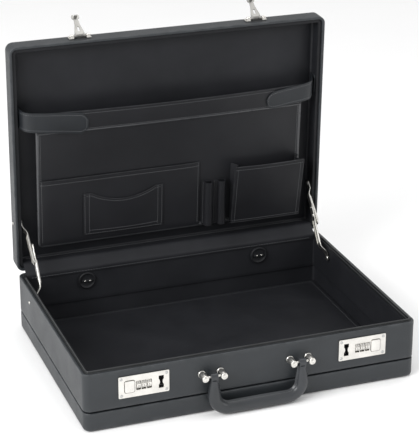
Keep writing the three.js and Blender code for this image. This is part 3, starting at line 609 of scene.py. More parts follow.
def satin(name, colour, rough, shine=0.5):
    """Satin paint or moulded plastic with a fine orange-peel texture."""
    look = Look(name, Specular_IOR_Level=shine)
    cloud = look.span(look.noise(40, 3), 0.35, 0.7)
    look.set("Base Color", look.mix(cloud, colour, shade(colour, 1.5)))
    look.set("Roughness", look.span(look.noise(70, 3), 0.3, 0.7, rough[0], rough[1]))
    look.bump(look.noise(1400, 2), 0.25, 0.00008)
    return look.material


def floor_paper():
    """Pale, matt studio paper."""
    look = Look("floor_paper", Roughness=0.95, Specular_IOR_Level=0.1)
    tone = look.span(look.noise(3, 3), 0.3, 0.7)
    look.set("Base Color", look.mix(tone, (0.95, 0.95, 0.95, 1), (0.97, 0.97, 0.97, 1)))
    look.bump(look.noise(700, 2), 0.05, 0.0001)
    return look.material


CASE_LEATHER = leather("case_leather", (0.015, 0.018, 0.021, 1), (0.022, 0.026, 0.030, 1), 1100)
HANDLE_LEATHER = leather(
    "handle_leather", (0.021, 0.0235, 0.026, 1), (0.032, 0.035, 0.040, 1), 1300, (0.28, 0.4), 0.3
)
STRAP_LEATHER = leather(
    "strap_leather", (0.009, 0.0108, 0.013, 1), (0.014, 0.0165, 0.020, 1), 1300, (0.36, 0.5), 0.4, 0.4
)
POCKET_LEATHER = leather(
    "pocket_leather", (0.0075, 0.0078, 0.0095, 1), (0.012, 0.0125, 0.015, 1), 1500, (0.42, 0.56), 0.4, 0.33
)
# A lighter, glossier copy of the black leather for the panel's binding and the band's lower edge. Its
# lighter colour is a painted highlight on these ridges.
PIPING_PAINTED_HIGHLIGHT = leather(
    "piping_leather_painted_highlight", (0.030, 0.031, 0.034, 1), (0.046, 0.048, 0.052, 1), 1500, (0.26, 0.36), 0.2, 0.6
)
LINING = leather(
    "lining_leather",
    (0.0095, 0.0102, 0.0125, 1),
    (0.0155, 0.0163, 0.0195, 1),
    1700,
    (0.5, 0.65),
    0.45,
    0.27,
)
TRIM = satin("trim_black", (0.014, 0.015, 0.016, 1), (0.28, 0.38))
# Darker matt black: the knob's own plastic, and a darker copy of the trim for the lid's rim, which is
# painted shade.
MATT_TRIM_AND_RIM_SHADE = satin("trim_matt_and_rim_shade", (0.008, 0.0085, 0.010, 1), (0.5, 0.65), 0.25)
NICKEL = metal("nickel_plate", (0.80, 0.78, 0.74, 1), (0.16, 0.3))
BRUSHED = metal("nickel_brushed", (0.78, 0.76, 0.72, 1), (0.26, 0.4), 0.5)
STAY_METAL = metal("nickel_dull", (0.56, 0.55, 0.52, 1), (0.24, 0.4))
HASP_METAL = metal("nickel_aged", (0.34, 0.335, 0.32, 1), (0.3, 0.46))
STEEL = metal("steel_dull", (0.55, 0.55, 0.54, 1), (0.3, 0.45), 0.3)
DARK_THREAD = thread("thread_black", (0.075, 0.077, 0.081, 1))
# Black: the dials' printed digits, and painted shade in the hinge screws' slots.
INK_AND_SLOT_SHADE = satin("dial_ink_and_slot_shade", (0.01, 0.01, 0.01, 1), (0.4, 0.5))

# ---------------------------------------------------------------- tray, frame and lid shells

CAP_INSETS = (12.0, 30.0, 60.0, 95.0, 125.0)


def lip(outer, inner, z, up):
    """The two rounded edges that close a wall, from its outer face to its inner face."""
    height, turns = (z - LIP_R, (180, 90, 0)) if up else (z + LIP_R, (180, 270, 360))
    outside = worn_corner(outer + LIP_R, height, LIP_R, turns[0], turns[1])
    return outside + worn_corner(inner - LIP_R, height, LIP_R, turns[1], turns[2], wear=0.4)


def tray_shell():
    shape = Shape()
    profile = level(3.0, (*CAP_INSETS[::-1], BOARD))
    profile += lip(0.0, BOARD, TRAY_TOP, True)[::-1]
    profile += line((0.0, TRAY_TOP - LIP_R - 3), (0.0, 8.0), 3)
    profile += worn_corner(5.0, 5.0, 5.0, 180, 270, 6)
    profile += level(0.0, CAP_INSETS)
    lofted_case(shape, profile)
    make("tray_leather", shape, [CASE_LEATHER], "tray", "black_leather", ["tray_shell"])


def hinge_room():
    """A cutter of bars that clear the hinge knuckles out of a wall."""
    shape = Shape()
    for side in (-1, 1):
        middle = (side * HINGE_X, HINGE_Y, RIM_Z)
        half = HINGE_LENGTH / 2 + 0.3
        rod(shape, 2.7, -half, half, middle, sides=20)
    return shape


def shell_with_openings(name, shape, cutter, body, node):
    """A leather shell with the cutter taken out of it."""
    piece = make(name, shape, [CASE_LEATHER], None, None)
    cut(piece, cutter)
    piece.data.set_sharp_from_angle(angle=math.radians(38))
    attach(piece, body)
    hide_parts(node)


def frame_shell():
    shape = Shape()
    profile = lip(0.0, BOARD, FRAME_BOTTOM, False)[::-1]
    profile += line((0.0, FRAME_BOTTOM + 5), (0.0, FRAME_TOP - 5), 5)
    profile += lip(0.0, BOARD, FRAME_TOP, True)
    lofted_case(shape, profile, wrap=True)
    cutter = hinge_room()
    for side in (-1, 1):
        window = rounded_loop(26.3, 9.1, 1.0, 3)
        axes = front_axes(side * LOCK_WINDOW_X, LOCK_Z)
        plate(cutter, window, FRONT - 1, FRONT + BOARD + 1, axes)
    shell_with_openings("frame_leather", shape, cutter, "case_frame", "frame_shell")


def lid_shell():
    shape = Shape(CLOSED_TO_OPEN)
    mouth = RIM_Z + 0.3
    profile = level(LID_TOP - 3.0, (*CAP_INSETS[::-1], BOARD))
    profile += lip(0.0, BOARD, mouth, False)[::-1]
    profile += line((0.0, mouth + LIP_R + 3), (0.0, LID_TOP - 9), 3)
    profile += worn_corner(6.0, LID_TOP - 6.0, 6.0, 180, 90, 7)
    profile += [(inset, LID_TOP + min(inset / 200, 0.3), 0.0) for inset in CAP_INSETS]
    lofted_case(shape, profile)
    shell_with_openings("lid_leather", shape, hinge_room(), "lid", "lid_shell")


tray_shell()
frame_shell()
lid_shell()

# ---------------------------------------------------------------- rims


def ring_profile(outer, inner, low, high, radius=0.5, wear=0.5):
    """A wall's closed profile with four small rounded edges."""
    outside, inside, under, over = outer + radius, inner - radius, low + radius, high - radius
    corners = ((outside, over, 180, 90), (inside, over, 90, 0))
    corners += ((inside, under, 360, 270), (outside, under, 270, 180))
    return [point for x, z, a, b in corners for point in worn_corner(x, z, radius, a, b, 2, wear)]


TONGUE_INSET = 6.4


def base_rim():
    """The valance round the top of the frame: a flat ledge, and a raised tongue on three sides."""
    shape = Shape()
    profile = ring_profile(RIM_OUTER, RIM_INNER, 76.3, RIM_Z - 0.1)
    lofted_case(shape, profile, wrap=True, give=0.0)
    loop = [Vector((x, y, RIM_Z + 0.8)) for x, y, _ in case_loop(TONGUE_INSET, 0)]
    ends = BACK - 18.0
    half = len(loop) // 2
    front_middle = min((abs(p.x), i) for i, p in enumerate(loop) if p.y < 0)[1]
    ordered = loop[front_middle:] + loop[:front_middle]
    path = [p for p in ordered[half:] + ordered[:half] if p.y < ends]
    section = [(-1.0, -1.2)] + corner(0.0, 0.6, 1.0, 180, 0, 6) + [(1.0, -1.2)]
    sweep(shape, path, Vector((0, 0, 1)), section, wear=0.6)
    make("frame_rim", shape, [TRIM], "case_frame", "black_trim", ["base_rim"])


def lid_rim():
    shape = Shape(CLOSED_TO_OPEN)
    lofted_case(shape, ring_profile(RIM_OUTER, RIM_INNER, 83.0, 85.6, 0.6), wrap=True, give=0.0)
    # The lid's rim takes the darker trim as painted shade. The base's rim is the same valance and keeps the
    # lighter trim.
    make("lid_rim_strip", shape, [MATT_TRIM_AND_RIM_SHADE], "lid", "black_trim", ["lid_rim"])


base_rim()
lid_rim()

# ---------------------------------------------------------------- linings


def tray_lining():
    shape = Shape()
    profile = level(3.3, (*CAP_INSETS[::-1], 7.2))
    profile += worn_corner(7.4, 4.0, 0.8, 180, 90, 3, 0.0)
    profile += [(inset, 4.8 + min((inset - 6) / 60, 0.6), 0.0) for inset in CAP_INSETS]
    lofted_case(shape, profile, give=0.0)
    edge = [Vector((x, y, 4.85)) for x, y, _ in case_loop(13.0, 0)]
    stitches(shape, edge + edge[:1], Vector((0, 0, 1)), 1, 4.2, 2.9)
    looks = [LINING, DARK_THREAD]
    piece = make("tray_floor_pad", shape, looks, "tray", "black_lining", ["tray_floor_lining"])


def frame_lining():
    shape = Shape()
    profile = ring_profile(6.6, LINING_INSET, FRAME_BOTTOM, 76.0, 0.7, 0.1)
    profile[6:6] = line((LINING_INSET, 70.0), (LINING_INSET, 34.0), 5)
    lofted_case(shape, profile, wrap=True, give=-0.25)
    piece = make("frame_lining", shape, [LINING], "case_frame", "black_lining", ["frame_liner"])


def lid_lining():
    """The padded tray that lines the lid, with its corners filled out."""
    shape = Shape(CLOSED_TO_OPEN)
    top, face = LID_TOP - 3.3, LID_TOP - 5.3
    profile = level(face - 0.2, CAP_INSETS[::-1])
    profile += worn_corner(LINING_INSET + 3.0, face - 3.0, 3.0, 90, 180, 5, 0.1)
    profile += line((LINING_INSET, 96.0), (LINING_INSET, 88.0), 2)
    profile += worn_corner(7.9, 86.6, 0.7, 0, -90, 3, 0.3)
    profile += worn_corner(5.0, 86.6, 0.7, 270, 180, 3, 0.0)
    profile += level(top, (RIM_OUTER, *CAP_INSETS))
    lofted_case(shape, profile, give=0.0)
    piece = make("lid_lining_pad", shape, [LINING], "lid", "black_lining", ["lid_lining"])


tray_lining()
frame_lining()
lid_lining()

# ---------------------------------------------------------------- hinge flap

FLAP_HALF = 215.6
FLAP_PATH = [(152.6, 72.5), (152.6, 77.6), (152.8, 79.3), (153.9, 80.7), (158.0, 84.4)]
FLAP_PATH += [(162.5, 88.4), (165.2, 90.8), (167.2, 91.6), (172.0, 91.7), (182.0, 91.2)]


def hinge_flap():
    """A strip of lining leather over the hinge line, glued to the frame's wall and to the lid's."""
    path = [Vector((0, y, z)) for y, z in FLAP_PATH]
    total = path_length(path)

    def surface(s, t):
        point = walk(path, t * total)
        wrinkle = 0.5 * (unevenness(s * 430, t * 40, 0, 26) - 0.5) * math.sin(math.pi * t)
        slack = 0.4 * math.sin(math.pi * t) * math.cos(3 * math.pi * s) ** 2
        return (FLAP_HALF * (2 * s - 1), point.y - wrinkle - slack, point.z + wrinkle + slack * 0.3)

    shape = Shape()
    sheet(shape, surface, 90, 22, 1.0)
    on_wall = (0.05, (0, -1, 0), (0, -0.5, 0.05))
    on_lid = (0.95, (0, 0, 1), (0, 0.0, 0.55))
    for share, up, lift in (on_wall, on_lid):
        stitches(shape, across(surface, share, 60, lift)[1:-1], Vector(up), 1, 4.0, 2.8)
    piece = make("hinge_flap_leather", shape, [LINING, DARK_THREAD], None, "black_lining", ["hinge_flap"])
    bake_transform(piece)


hinge_flap()

# ---------------------------------------------------------------- locks


def rivet_head(shape, x, y, z, radius, height, axis="y", sign=-1, look=0):
    """A domed rivet head standing out of a face."""
    dome = [(radius * math.cos(a), sign * height * math.sin(a)) for a in (0, 0.35, 0.7, 1.05, 1.35)]
    profile = [(0, 0), (radius, 0)] + dome[1:] + [(0, sign * height)]
    lathe(shape, profile, (x, y, z), axis, 20, look)


def lock_plate():
    shape = Shape()
    axes = front_axes(0, LOCK_Z)

    def moved(loop, x, z=0.0):
        return [(a + x, b + z) for a, b in loop]

    outline = moved(rounded_loop(LOCK_LENGTH / 2, LOCK_HEIGHT / 2, 1.5, 4), LOCK_MIDDLE)
    holes = [moved(rounded_loop(3.1, 6.3, 0.8, 3), x) for x in DIAL_X]
    holes.append(moved(rounded_loop(7.0, 8.8, 3.0, 5), BUTTON_X))
    waist = [(3.3, -8.5), (3.3, -3.9), (2.2, -2.6), (1.7, 0), (2.2, 2.6), (3.3, 3.9), (3.3, 8.5)]
    holes.append(moved(waist + [(-a, b) for a, b in reversed(waist)], SLOT_X))
    plate(shape, outline, PLATE_FRONT, PLATE_BACK, axes, holes)
    make_pair("lock_plate", shape, [BRUSHED], "case_frame", "nickel", ["lock_plate"], bevel=0.28)
    heads = Shape()
    for along in (-1, 1):
        for rise in (-1, 1):
            x = LOCK_MIDDLE + along * (LOCK_LENGTH / 2 - 3.6)
            z = LOCK_Z + rise * (LOCK_HEIGHT / 2 - 3.4)
            collar = [(0, 0.1), (2.15, 0.1), (2.15, -0.12), (1.9, -0.2), (0, -0.2)]
            lathe(heads, collar, (x, PLATE_FRONT, z), "y", 20)
            rivet_head(heads, x, PLATE_FRONT - 0.2, z, 1.5, 0.55)
    make_pair("lock_rivets", heads, [STEEL], "case_frame", "lock_steel", [])


def lock_case():
    """The sheet-metal box behind the plate, with the dials' shaft and its brackets."""
    shape = Shape()
    front, back = FRONT + 4.3, FRONT + 13.4
    walls = [(6, back), (0.6, back), (0.2, back - 0.2), (0, back - 0.6), (0, front)]
    walls += [(0.8, front), (0.8, back - 0.8), (6, back - 0.8)]
    stack(shape, walls, 28.0, 8.1, 1.4, 1.4, 3, front_axes(147.5, LOCK_Z))
    rod(shape, 1.5, DIAL_X[0] - 5, DIAL_X[2] + 5, (0, DIAL_Y, LOCK_Z))
    for x in (DIAL_X[0] - 4.4, DIAL_X[2] + 4.4):
        leg = rounded_loop(0.6, 3.0, 0.3, 2)
        plate(shape, leg, DIAL_Y - 2, back - 0.9, front_axes(x, LOCK_Z))
    make_pair("lock_case", shape, [STEEL], "case_frame", "lock_steel", ["lock_case"], bevel=0.2)


def digit_mesh(number):
    """The points and faces of a digit, 1 high, centred, lying in X and Y."""
    drawn = bpy.data.curves.new("digit", "FONT")
    drawn.body = str(number)
    drawn.size = 1.4
    drawn.align_x = "CENTER"
    drawn.align_y = "CENTER"
    drawn.extrude = 0.02
    drawn.resolution_u = 2
    holder = bpy.data.objects.new("digit", drawn)
    bpy.context.scene.collection.objects.link(holder)
    mesh = bpy.data.meshes.new_from_object(holder.evaluated_get(bpy.context.evaluated_depsgraph_get()))
    points = [v.co.copy() for v in mesh.vertices]
    faces = [list(f.vertices) for f in mesh.polygons]
    bpy.data.objects.remove(holder)
    bpy.data.curves.remove(drawn)
    bpy.data.meshes.remove(mesh)
    return points, faces


def dial(x, digits, mirror):
    """A thumb wheel with ten flats, a groove between each two, and a digit on each."""
    shape = Shape()
    half = DIAL_WIDTH / 2
    sides = 120
    rows = []
    for along, shrink in ((-half, 0.5), (-half + 0.35, 0.0), (half - 0.35, 0.0), (half, 0.5)):
        row = []
        for k in range(sides):
            turn = k / sides * 10 % 1
            groove = 0.75 * max(0.0, 1 - abs(min(turn, 1 - turn)) / 0.14)
            flat = DIAL_R * (1 - 0.012 * (1 - (2 * turn - 1) ** 2))
            radius = flat - groove - shrink
            angle = 2 * math.pi * (k / sides - 0.05)
            row.append((x + along, DIAL_Y - radius * math.cos(angle), LOCK_Z + radius * math.sin(angle)))
        rows.append(row)
    shape.loft(rows)
    for number, (points, faces) in enumerate(digits):
        turn = Matrix.Rotation(-2 * math.pi * number / 10, 4, "X")
        stand = Matrix.Rotation(math.pi / 2, 4, "X")
        out = Matrix.Translation((0, 0, DIAL_R - 0.03))
        flip = -1 if mirror else 1
        shape.place = Matrix.Translation((x, DIAL_Y, LOCK_Z)) @ turn @ stand @ out
        shape.add([(p.x * 2.3 * flip, p.y * 2.3, p.z) for p in points], faces, 1)
    return shape


def dials():
    digits = [digit_mesh(number) for number in range(10)]
    for i, x in enumerate(DIAL_X):
        for side, sign in (("right", 1), ("left", -1)):
            shape = dial(x, digits, sign < 0)
            shape = shape if sign > 0 else shape.mirrored()
            name = f"dial_{i + 1}_{side}"
            make(f"dial_wheel_{i + 1}_{side}", shape, [NICKEL, INK_AND_SLOT_SHADE], name, "nickel", [name])


def latch_button():
    """A push button with a rounded edge and a slightly domed face, on its stem."""
    shape = Shape()
    half_x, half_z, edge, crown = 6.4, 8.2, 0.5, 0.12
    back, front = PLATE_FRONT + 1.4, PLATE_FRONT - 0.9
    layers = [(0, back), (0, front + edge), (0.3 * edge, front + 0.3 * edge), (edge, front)]
    for share in (0.25, 0.5, 0.75):
        layers.append((edge + (half_x - edge) * share, front - crown * (1 - (1 - share) ** 2)))
    stack(shape, layers, half_x, half_z, 2.6, 0.4, 5, front_axes(BUTTON_X, LOCK_Z))
    rod(shape, 2.0, PLATE_FRONT, FRONT + 9.4, (BUTTON_X, 0, LOCK_Z), "y")
    make_pair("latch_pad", shape, [NICKEL], "latch_button_%s", "nickel", ["latch_button"])


lock_plate()
lock_case()
dials()
latch_button()

# ---------------------------------------------------------------- handle


def handle_posts():
    head = [(0, 0.4), (1.5, 0.4), (1.9, 0), (2.3, 0.35), (3.5, 0.5), (4.2, 0.8)]
    head += [(POST_R, 1.4), (POST_R, 12.6)]
    foot = [(POST_R, -2.1), (5.0, -1.7), (5.1, -0.8), (5.0, -0.3), (2.0, -0.3), (2.0, 2.7), (0, 2.7)]
    profile = [(radius, along + POST_TIP) for radius, along in head]
    profile += [(radius, FRONT + along) for radius, along in foot]
    for part, x in zip(("inner", "outer"), POST_X):
        shape = Shape()
        lathe(shape, profile, (x, 0, LOCK_Z), "y", 32)
        nodes = [f"handle_post_{part}"]
        make_pair(f"post_{part}", shape, [BRUSHED], "case_frame", "nickel", nodes, angle=50)
    pin = Shape()
    rod(pin, 1.5, POST_X[0] + POST_R - 1.6, POST_X[1] - POST_R + 1.6, (0, PIN_Y, LOCK_Z))
    make_pair("post_pin", pin, [NICKEL], "case_frame", "nickel", ["handle_pin"])


def handle_lugs():
    """A leather loop round each pin, tapering into the leg below it."""
    round_pin = corner(PIN_Y, LOCK_Z, 4.2, -20, 200, 14)
    outline = round_pin + [(PIN_Y - 3.3, LOCK_Z - 5), (PIN_Y - 3.3, LOCK_Z - 8.5)]
    outline += [(PIN_Y + 3.3, LOCK_Z - 8.5), (PIN_Y + 3.3, LOCK_Z - 5)]
    bore = corner(PIN_Y, LOCK_Z, 1.65, 0, 337.5, 15)
    shape = Shape()
    plate(shape, outline, HANDLE_X - 4.6, HANDLE_X + 4.6, side_axes(), [bore])
    make_pair("handle_loop", shape, [HANDLE_LEATHER], "handle", "black_trim", ["handle_lug"], bevel=0.9)


def grip_path():
    """The U of the handle, from the left leg's top to the right's."""
    low = GRIP_Z
    bend = GRIP_BEND_R
    inner = HANDLE_X - bend
    top = LOCK_Z - 5.2
    points = [(-HANDLE_X, top - (top - low - bend) * k / 9) for k in range(9)]
    points += corner(-inner, low + bend, bend, 180, 270, 12)
    points += [(-inner + 2 * inner * k / 16, low) for k in range(1, 16)]
    points += corner(inner, low + bend, bend, 270, 360, 12)
    points += [(HANDLE_X, low + bend + (top - low - bend) * k / 9) for k in range(1, 10)]
    return [Vector((x, PIN_Y, z)) for x, z in points]


def handle_grip():
    """Padded leather sewn round a core. The seam stands up as a welt on the inside of the U."""
    path = grip_path()
    total = path_length(path)
    shares = [0.0]
    for a, b in zip(path, path[1:]):
        shares.append(shares[-1] + (b - a).length / total)

    def fullness(t):
        along = shares[min(int(round(t * (len(path) - 1))), len(path) - 1)]
        from_end = min(along, 1 - along) * total
        rise = min(from_end / 24.0, 1.0)
        return 0.62 + 0.38 * (rise * rise * (3 - 2 * rise)) + 0.05 * math.sin(math.pi * along) ** 6

    def section(t):
        full = fullness(t)
        ring = []
        for k in range(48):
            angle = 2 * math.pi * k / 48
            welt = math.exp(-((abs(angle - math.pi) / 0.13) ** 2))
            pinch = math.exp(-(((abs(angle - math.pi) - 0.34) / 0.16) ** 2))
            scale = full * (1 - 0.05 * pinch) + 0.13 * welt
            ring.append((GRIP_R * scale * math.cos(angle), (GRIP_R - 0.8) * scale * math.sin(angle)))
        return ring

    shape = Shape()
    side = Vector((0, 1, 0))
    sweep(shape, path, side, section)
    for edge in (-1, 1):
        row = []
        for i, point in enumerate(path[2:-2], 2):
            tangent = (path[i + 1] - path[i - 1]).normalized()
            normal = side.cross(tangent)
            full = fullness(i / (len(path) - 1))
            reach = 0.36
            row.append(
                point
                - normal * GRIP_R * (full - 0.045) * math.cos(reach)
                + side * edge * (GRIP_R - 0.8) * (full - 0.045) * math.sin(reach)
            )
        stitches(shape, row, Vector((0, edge * 0.5, 0.9)).normalized(), 1, 3.6, 2.5, 0.36)
    looks = [HANDLE_LEATHER, DARK_THREAD]
    piece = make("handle_grip_pad", shape, looks, "handle", "black_leather", ["handle_grip"], angle=70)


handle_posts()
handle_lugs()
handle_grip()

# ---------------------------------------------------------------- hasps


def hasp_plate():
    shape = Shape(CLOSED_TO_OPEN)
    half = [(8.6, -1.4), (8.6, -5.8), (15.5, -5.8), (15.5, 4.4), (14.1, 5.8)]
    outline = half + [(-a, b) for a, b in reversed(half)]
    plate(shape, outline, PLATE_FRONT, PLATE_BACK, front_axes(SLOT_X, RIM_Z + 14.2))
    centre = (SLOT_X, HASP_Y, HASP_Z)
    for side in (-1, 1):
        start, end = sorted((side * 8.7, side * 14.0))
        barrel(shape, 2.3, start, end, centre)
        pin_end = [(0, side * 14.0), (1.3, side * 14.0), (0.9, side * 14.6), (0, side * 14.7)]
        lathe(shape, pin_end, centre, "x", 16)
        web = [(HASP_Y, -2.2), (PLATE_FRONT + 0.4, -2.6), (PLATE_FRONT + 0.4, 2.6), (HASP_Y, 2.2)]
        plate(shape, web, start, end, side_axes(SLOT_X, HASP_Z))
    rod(shape, 1.1, -13, 13, centre)
    for x in (-11.0, 0.0, 11.0):
        rivet_head(shape, SLOT_X + x, PLATE_FRONT + 0.05, RIM_Z + 17.2, 1.3, 0.5)
    make_pair("hasp_base", shape, [NICKEL], "lid", "nickel", ["hasp_plate"], bevel=0.2)


def hasp():
    """The springy arm: a rolled barrel, a tapering strap with a rib, and a forked tip with the hook."""
    shape = Shape(HASP_PLACE)
    profile = [(1.35, -8.2), (1.9, -8.2), (2.3, -7.8), (2.3, -4.2)]
    turns = 9
    for k in range(turns):
        start = -4.2 + 8.4 * k / turns
        profile += [(1.75, start + 0.05), (2.2, start + 0.3), (2.2, start + 0.65), (1.75, start + 0.88)]
    profile += [(2.3, 4.2), (2.3, 7.8), (1.9, 8.2), (1.35, 8.2)]
    rows = []
    for radius, along in profile:
        rows.append([(SLOT_X + along, radius * a, radius * b) for a, b in ellipse(1, 1, 20)])
    shape.loft(rows, wrap=True)
    half = [(6.6, -0.6), (6.6, -5.0), (5.0, -11.0), (3.4, -18.0), (2.9, -24.4), (3.4, -26.0), (5.0, -26.8)]
    half += [(5.2, -28.0), (5.2, -31.0), (4.2, -HASP_REACH), (2.2, -HASP_REACH)]
    outline = half + [(1.8, -30.6), (-1.8, -30.6)] + [(-a, b) for a, b in reversed(half)]
    slot = rounded_loop(1.5, 3.8, 1.4, 4)
    slot = [(a, b - 9.6) for a, b in slot]
    plate(shape, outline, 0.0, 1.5, front_axes(SLOT_X, 0), [slot])
    rib = rounded_loop(0.9, 4.4, 0.85, 4)
    plate(shape, rib, -0.35, 0.1, front_axes(SLOT_X, -19.5))
    for side in (-1, 1):
        gusset = [(0.2, -6.0), (2.2, -2.0), (2.2, -0.5), (0.2, -0.5)]
        plate(shape, gusset, side * 5.4 - 0.5, side * 5.4 + 0.5, side_axes(SLOT_X))
    hook = [(1.4, -27.6), (5.4, -27.6), (6.2, -28.2), (6.2, -29.0), (5.4, -29.8), (4.6, -29.4)]
    plate(shape, hook + [(1.4, -30.2)], -1.8, 1.8, side_axes(SLOT_X))
    make_pair("hasp_arm", shape, [HASP_METAL], "hasp_%s", "nickel", ["hasp"], bevel=0.22)


hasp_plate()
hasp()

# ---------------------------------------------------------------- lid stays


def arm_section(half, flange, way):
    """Across an arm: its sheet, and two folded edges that stand out to one side by the flange."""
    back, face = -way * ARM_SHEET / 2, way * ARM_SHEET / 2
    tip = face + way * flange
    fold = min(1.2, 0.6 * half)
    soft = 0.4
    return [
        (back + way * soft, -half),
        (back, -half + soft),
        (back, half - soft),
        (back + way * soft, half),
        (tip, half),
        (tip, half - fold),
        (face, half - fold),
        (face, -half + fold),
        (tip, -half + fold),
        (tip, -half),
    ]


def stay_arm(place, length, main_x, flange, flange_ends, way):
    """A channel-shaped arm with round ends, pivoted at its place's origin.

    It steps in from the wall to main_x, and its folded edges run between flange_ends.
    """
    shape = Shape(place)
    radius = ARM_WIDTH / 2
    stations = [-radius * math.cos(math.pi / 2 * k / 6) for k in range(7)]
    stations += [length * k / 60 for k in range(1, 60)]
    stations += [length + radius * math.sin(math.pi / 2 * k / 6) for k in range(7)]
    rows = []
    for y in stations:
        beyond = max(-y, y - length, 0.0)
        half = max(math.sqrt(max(radius**2 - beyond**2, 0.0)), 0.5)
        step = min(max((y - 7.0) / 13.0, 0.0), 1.0)
        face = ARM_WALL_X + (main_x - ARM_WALL_X) * step * step * (3 - 2 * step)
        start, end = flange_ends
        risen = min(max((y - start) / 3.0, 0.0), max((end - y) / 3.0, 0.0), 1.0)
        section = arm_section(half, max(flange * risen, 0.02), way)
        rows.append([(face + ARM_SHEET / 2 + a, y, b) for a, b in section])
    shape.loft(rows)
    return shape


def stays():
    lower_end, upper_end = LOWER_ARM + 12.0, UPPER_ARM + 10.0
    lower = stay_arm(LOWER_PLACE, lower_end, LOWER_X, 1.2, (22.0, LOWER_ARM - 6.0), -1)
    rivet_head(lower, LOWER_X, lower_end, 0, 1.6, 1.2, "x", -1)
    make_pair("stay_lower_arm", lower, [STAY_METAL], "stay_lower_%s", "nickel", ["stay_lower"], angle=50)
    elbow = Shape(LOWER_PLACE)
    rivet_head(elbow, LOWER_X - 0.1, LOWER_ARM, 0, 4.1, 1.5, "x", -1)
    rod(elbow, 1.7, LOWER_X - 0.2, UPPER_X + ARM_SHEET, (0, LOWER_ARM, 0))
    nodes = ["stay_elbow_rivet"]
    make_pair("stay_elbow_head", elbow, [STAY_METAL], "stay_lower_%s", "nickel", nodes, angle=50)
    upper = stay_arm(UPPER_PLACE, upper_end, UPPER_X, 1.2, (20.0, upper_end + 1.0), 1)
    make_pair("stay_upper_arm", upper, [STAY_METAL], "stay_upper_%s", "nickel", ["stay_upper"], angle=50)


def stay_rivets():
    """The rivets that hold the stays to the frame and to the lid. The lid's has a shoulder."""
    ends = (("base", WORLD, STAY_BASE, "case_frame"), ("lid", CLOSED_TO_OPEN, STAY_LID, "lid"))
    for name, place, pivot, body in ends:
        shape = Shape(place)
        rod(shape, 1.7, ARM_WALL_X - 0.3, HALF_WIDTH + 0.4, (0, pivot.y, pivot.z))
        if name == "lid":
            shoulder = (ARM_WALL_X + ARM_SHEET + 0.2, HALF_WIDTH - 8.7)
            rod(shape, 3.2, *shoulder, (0, pivot.y, pivot.z), sides=20)
        rivet_head(shape, ARM_WALL_X - 0.1, pivot.y, pivot.z, 4.1, 1.5, "x", -1)
        rivet_head(shape, HALF_WIDTH + 0.1, pivot.y, pivot.z, 2.4, 1.1, "x", 1)
        nodes = [f"stay_{name}_rivet"]
        make_pair(f"stay_{name}_heads", shape, [STAY_METAL], body, "nickel", nodes, angle=50)


stays()
stay_rivets()

# ---------------------------------------------------------------- hinges


def screw_head(shape, x, y, z, radius=1.9):
    """A domed screw head on a face that looks to +Y. Its straight slot is a black bar across the dome,
    painted shade for the groove.
    """
    rivet_head(shape, x, y, z, radius, 0.7, "y", 1)
    bar = rounded_loop(radius * 0.8, 0.25, 0.2, 2)
    plate(shape, bar, y + 0.45, y + 0.78, front_axes(x, z), look=1)


def hinge_leaf(rise, knuckles, place):
    shape = Shape(place)
    leaf_back, leaf_face = BACK + 0.3, BACK + 1.3
    low, high = sorted((RIM_Z + rise * 1.6, RIM_Z + rise * 18))
    outline = rounded_loop(HINGE_LENGTH / 2, (high - low) / 2, 1.6, 4)
    plate(shape, outline, leaf_back, leaf_face, front_axes(HINGE_X, (low + high) / 2))
    third = HINGE_LENGTH / 3
    for index in knuckles:
        start = HINGE_X - HINGE_LENGTH / 2 + index * third + 0.15
        end = start + third - 0.3
        barrel(shape, 2.4, start, end, (0, HINGE_Y, RIM_Z))
        tongue = [(leaf_back, rise * 0.2), (leaf_face, rise * 0.2)]
        tongue += [(leaf_face, rise * 2.6), (leaf_back, rise * 2.6)]
        plate(shape, tongue, start, end, side_axes(0, RIM_Z))
    for x in (-14, 0, 14):
        screw_head(shape, HINGE_X + x, leaf_face, RIM_Z + rise * 12)
    return shape


def hinges():
    base = hinge_leaf(-1, (0, 2), WORLD)
    rod(base, 1.1, HINGE_X - HINGE_LENGTH / 2, HINGE_X + HINGE_LENGTH / 2, (0, HINGE_Y, RIM_Z))
    lid = hinge_leaf(1, (1,), CLOSED_TO_OPEN)
    for name, leaf, body in (("base", base, "case_frame"), ("lid", lid, "lid")):
        nodes = [f"hinge_leaf_{name}"]
        # The hinges' second material is the black of the screw slots, painted shade.
        make_pair(f"hinge_{name}", leaf, [STEEL, INK_AND_SLOT_SHADE], body, "lock_steel", nodes, bevel=0.2)


hinges()

# ---------------------------------------------------------------- expansion knobs


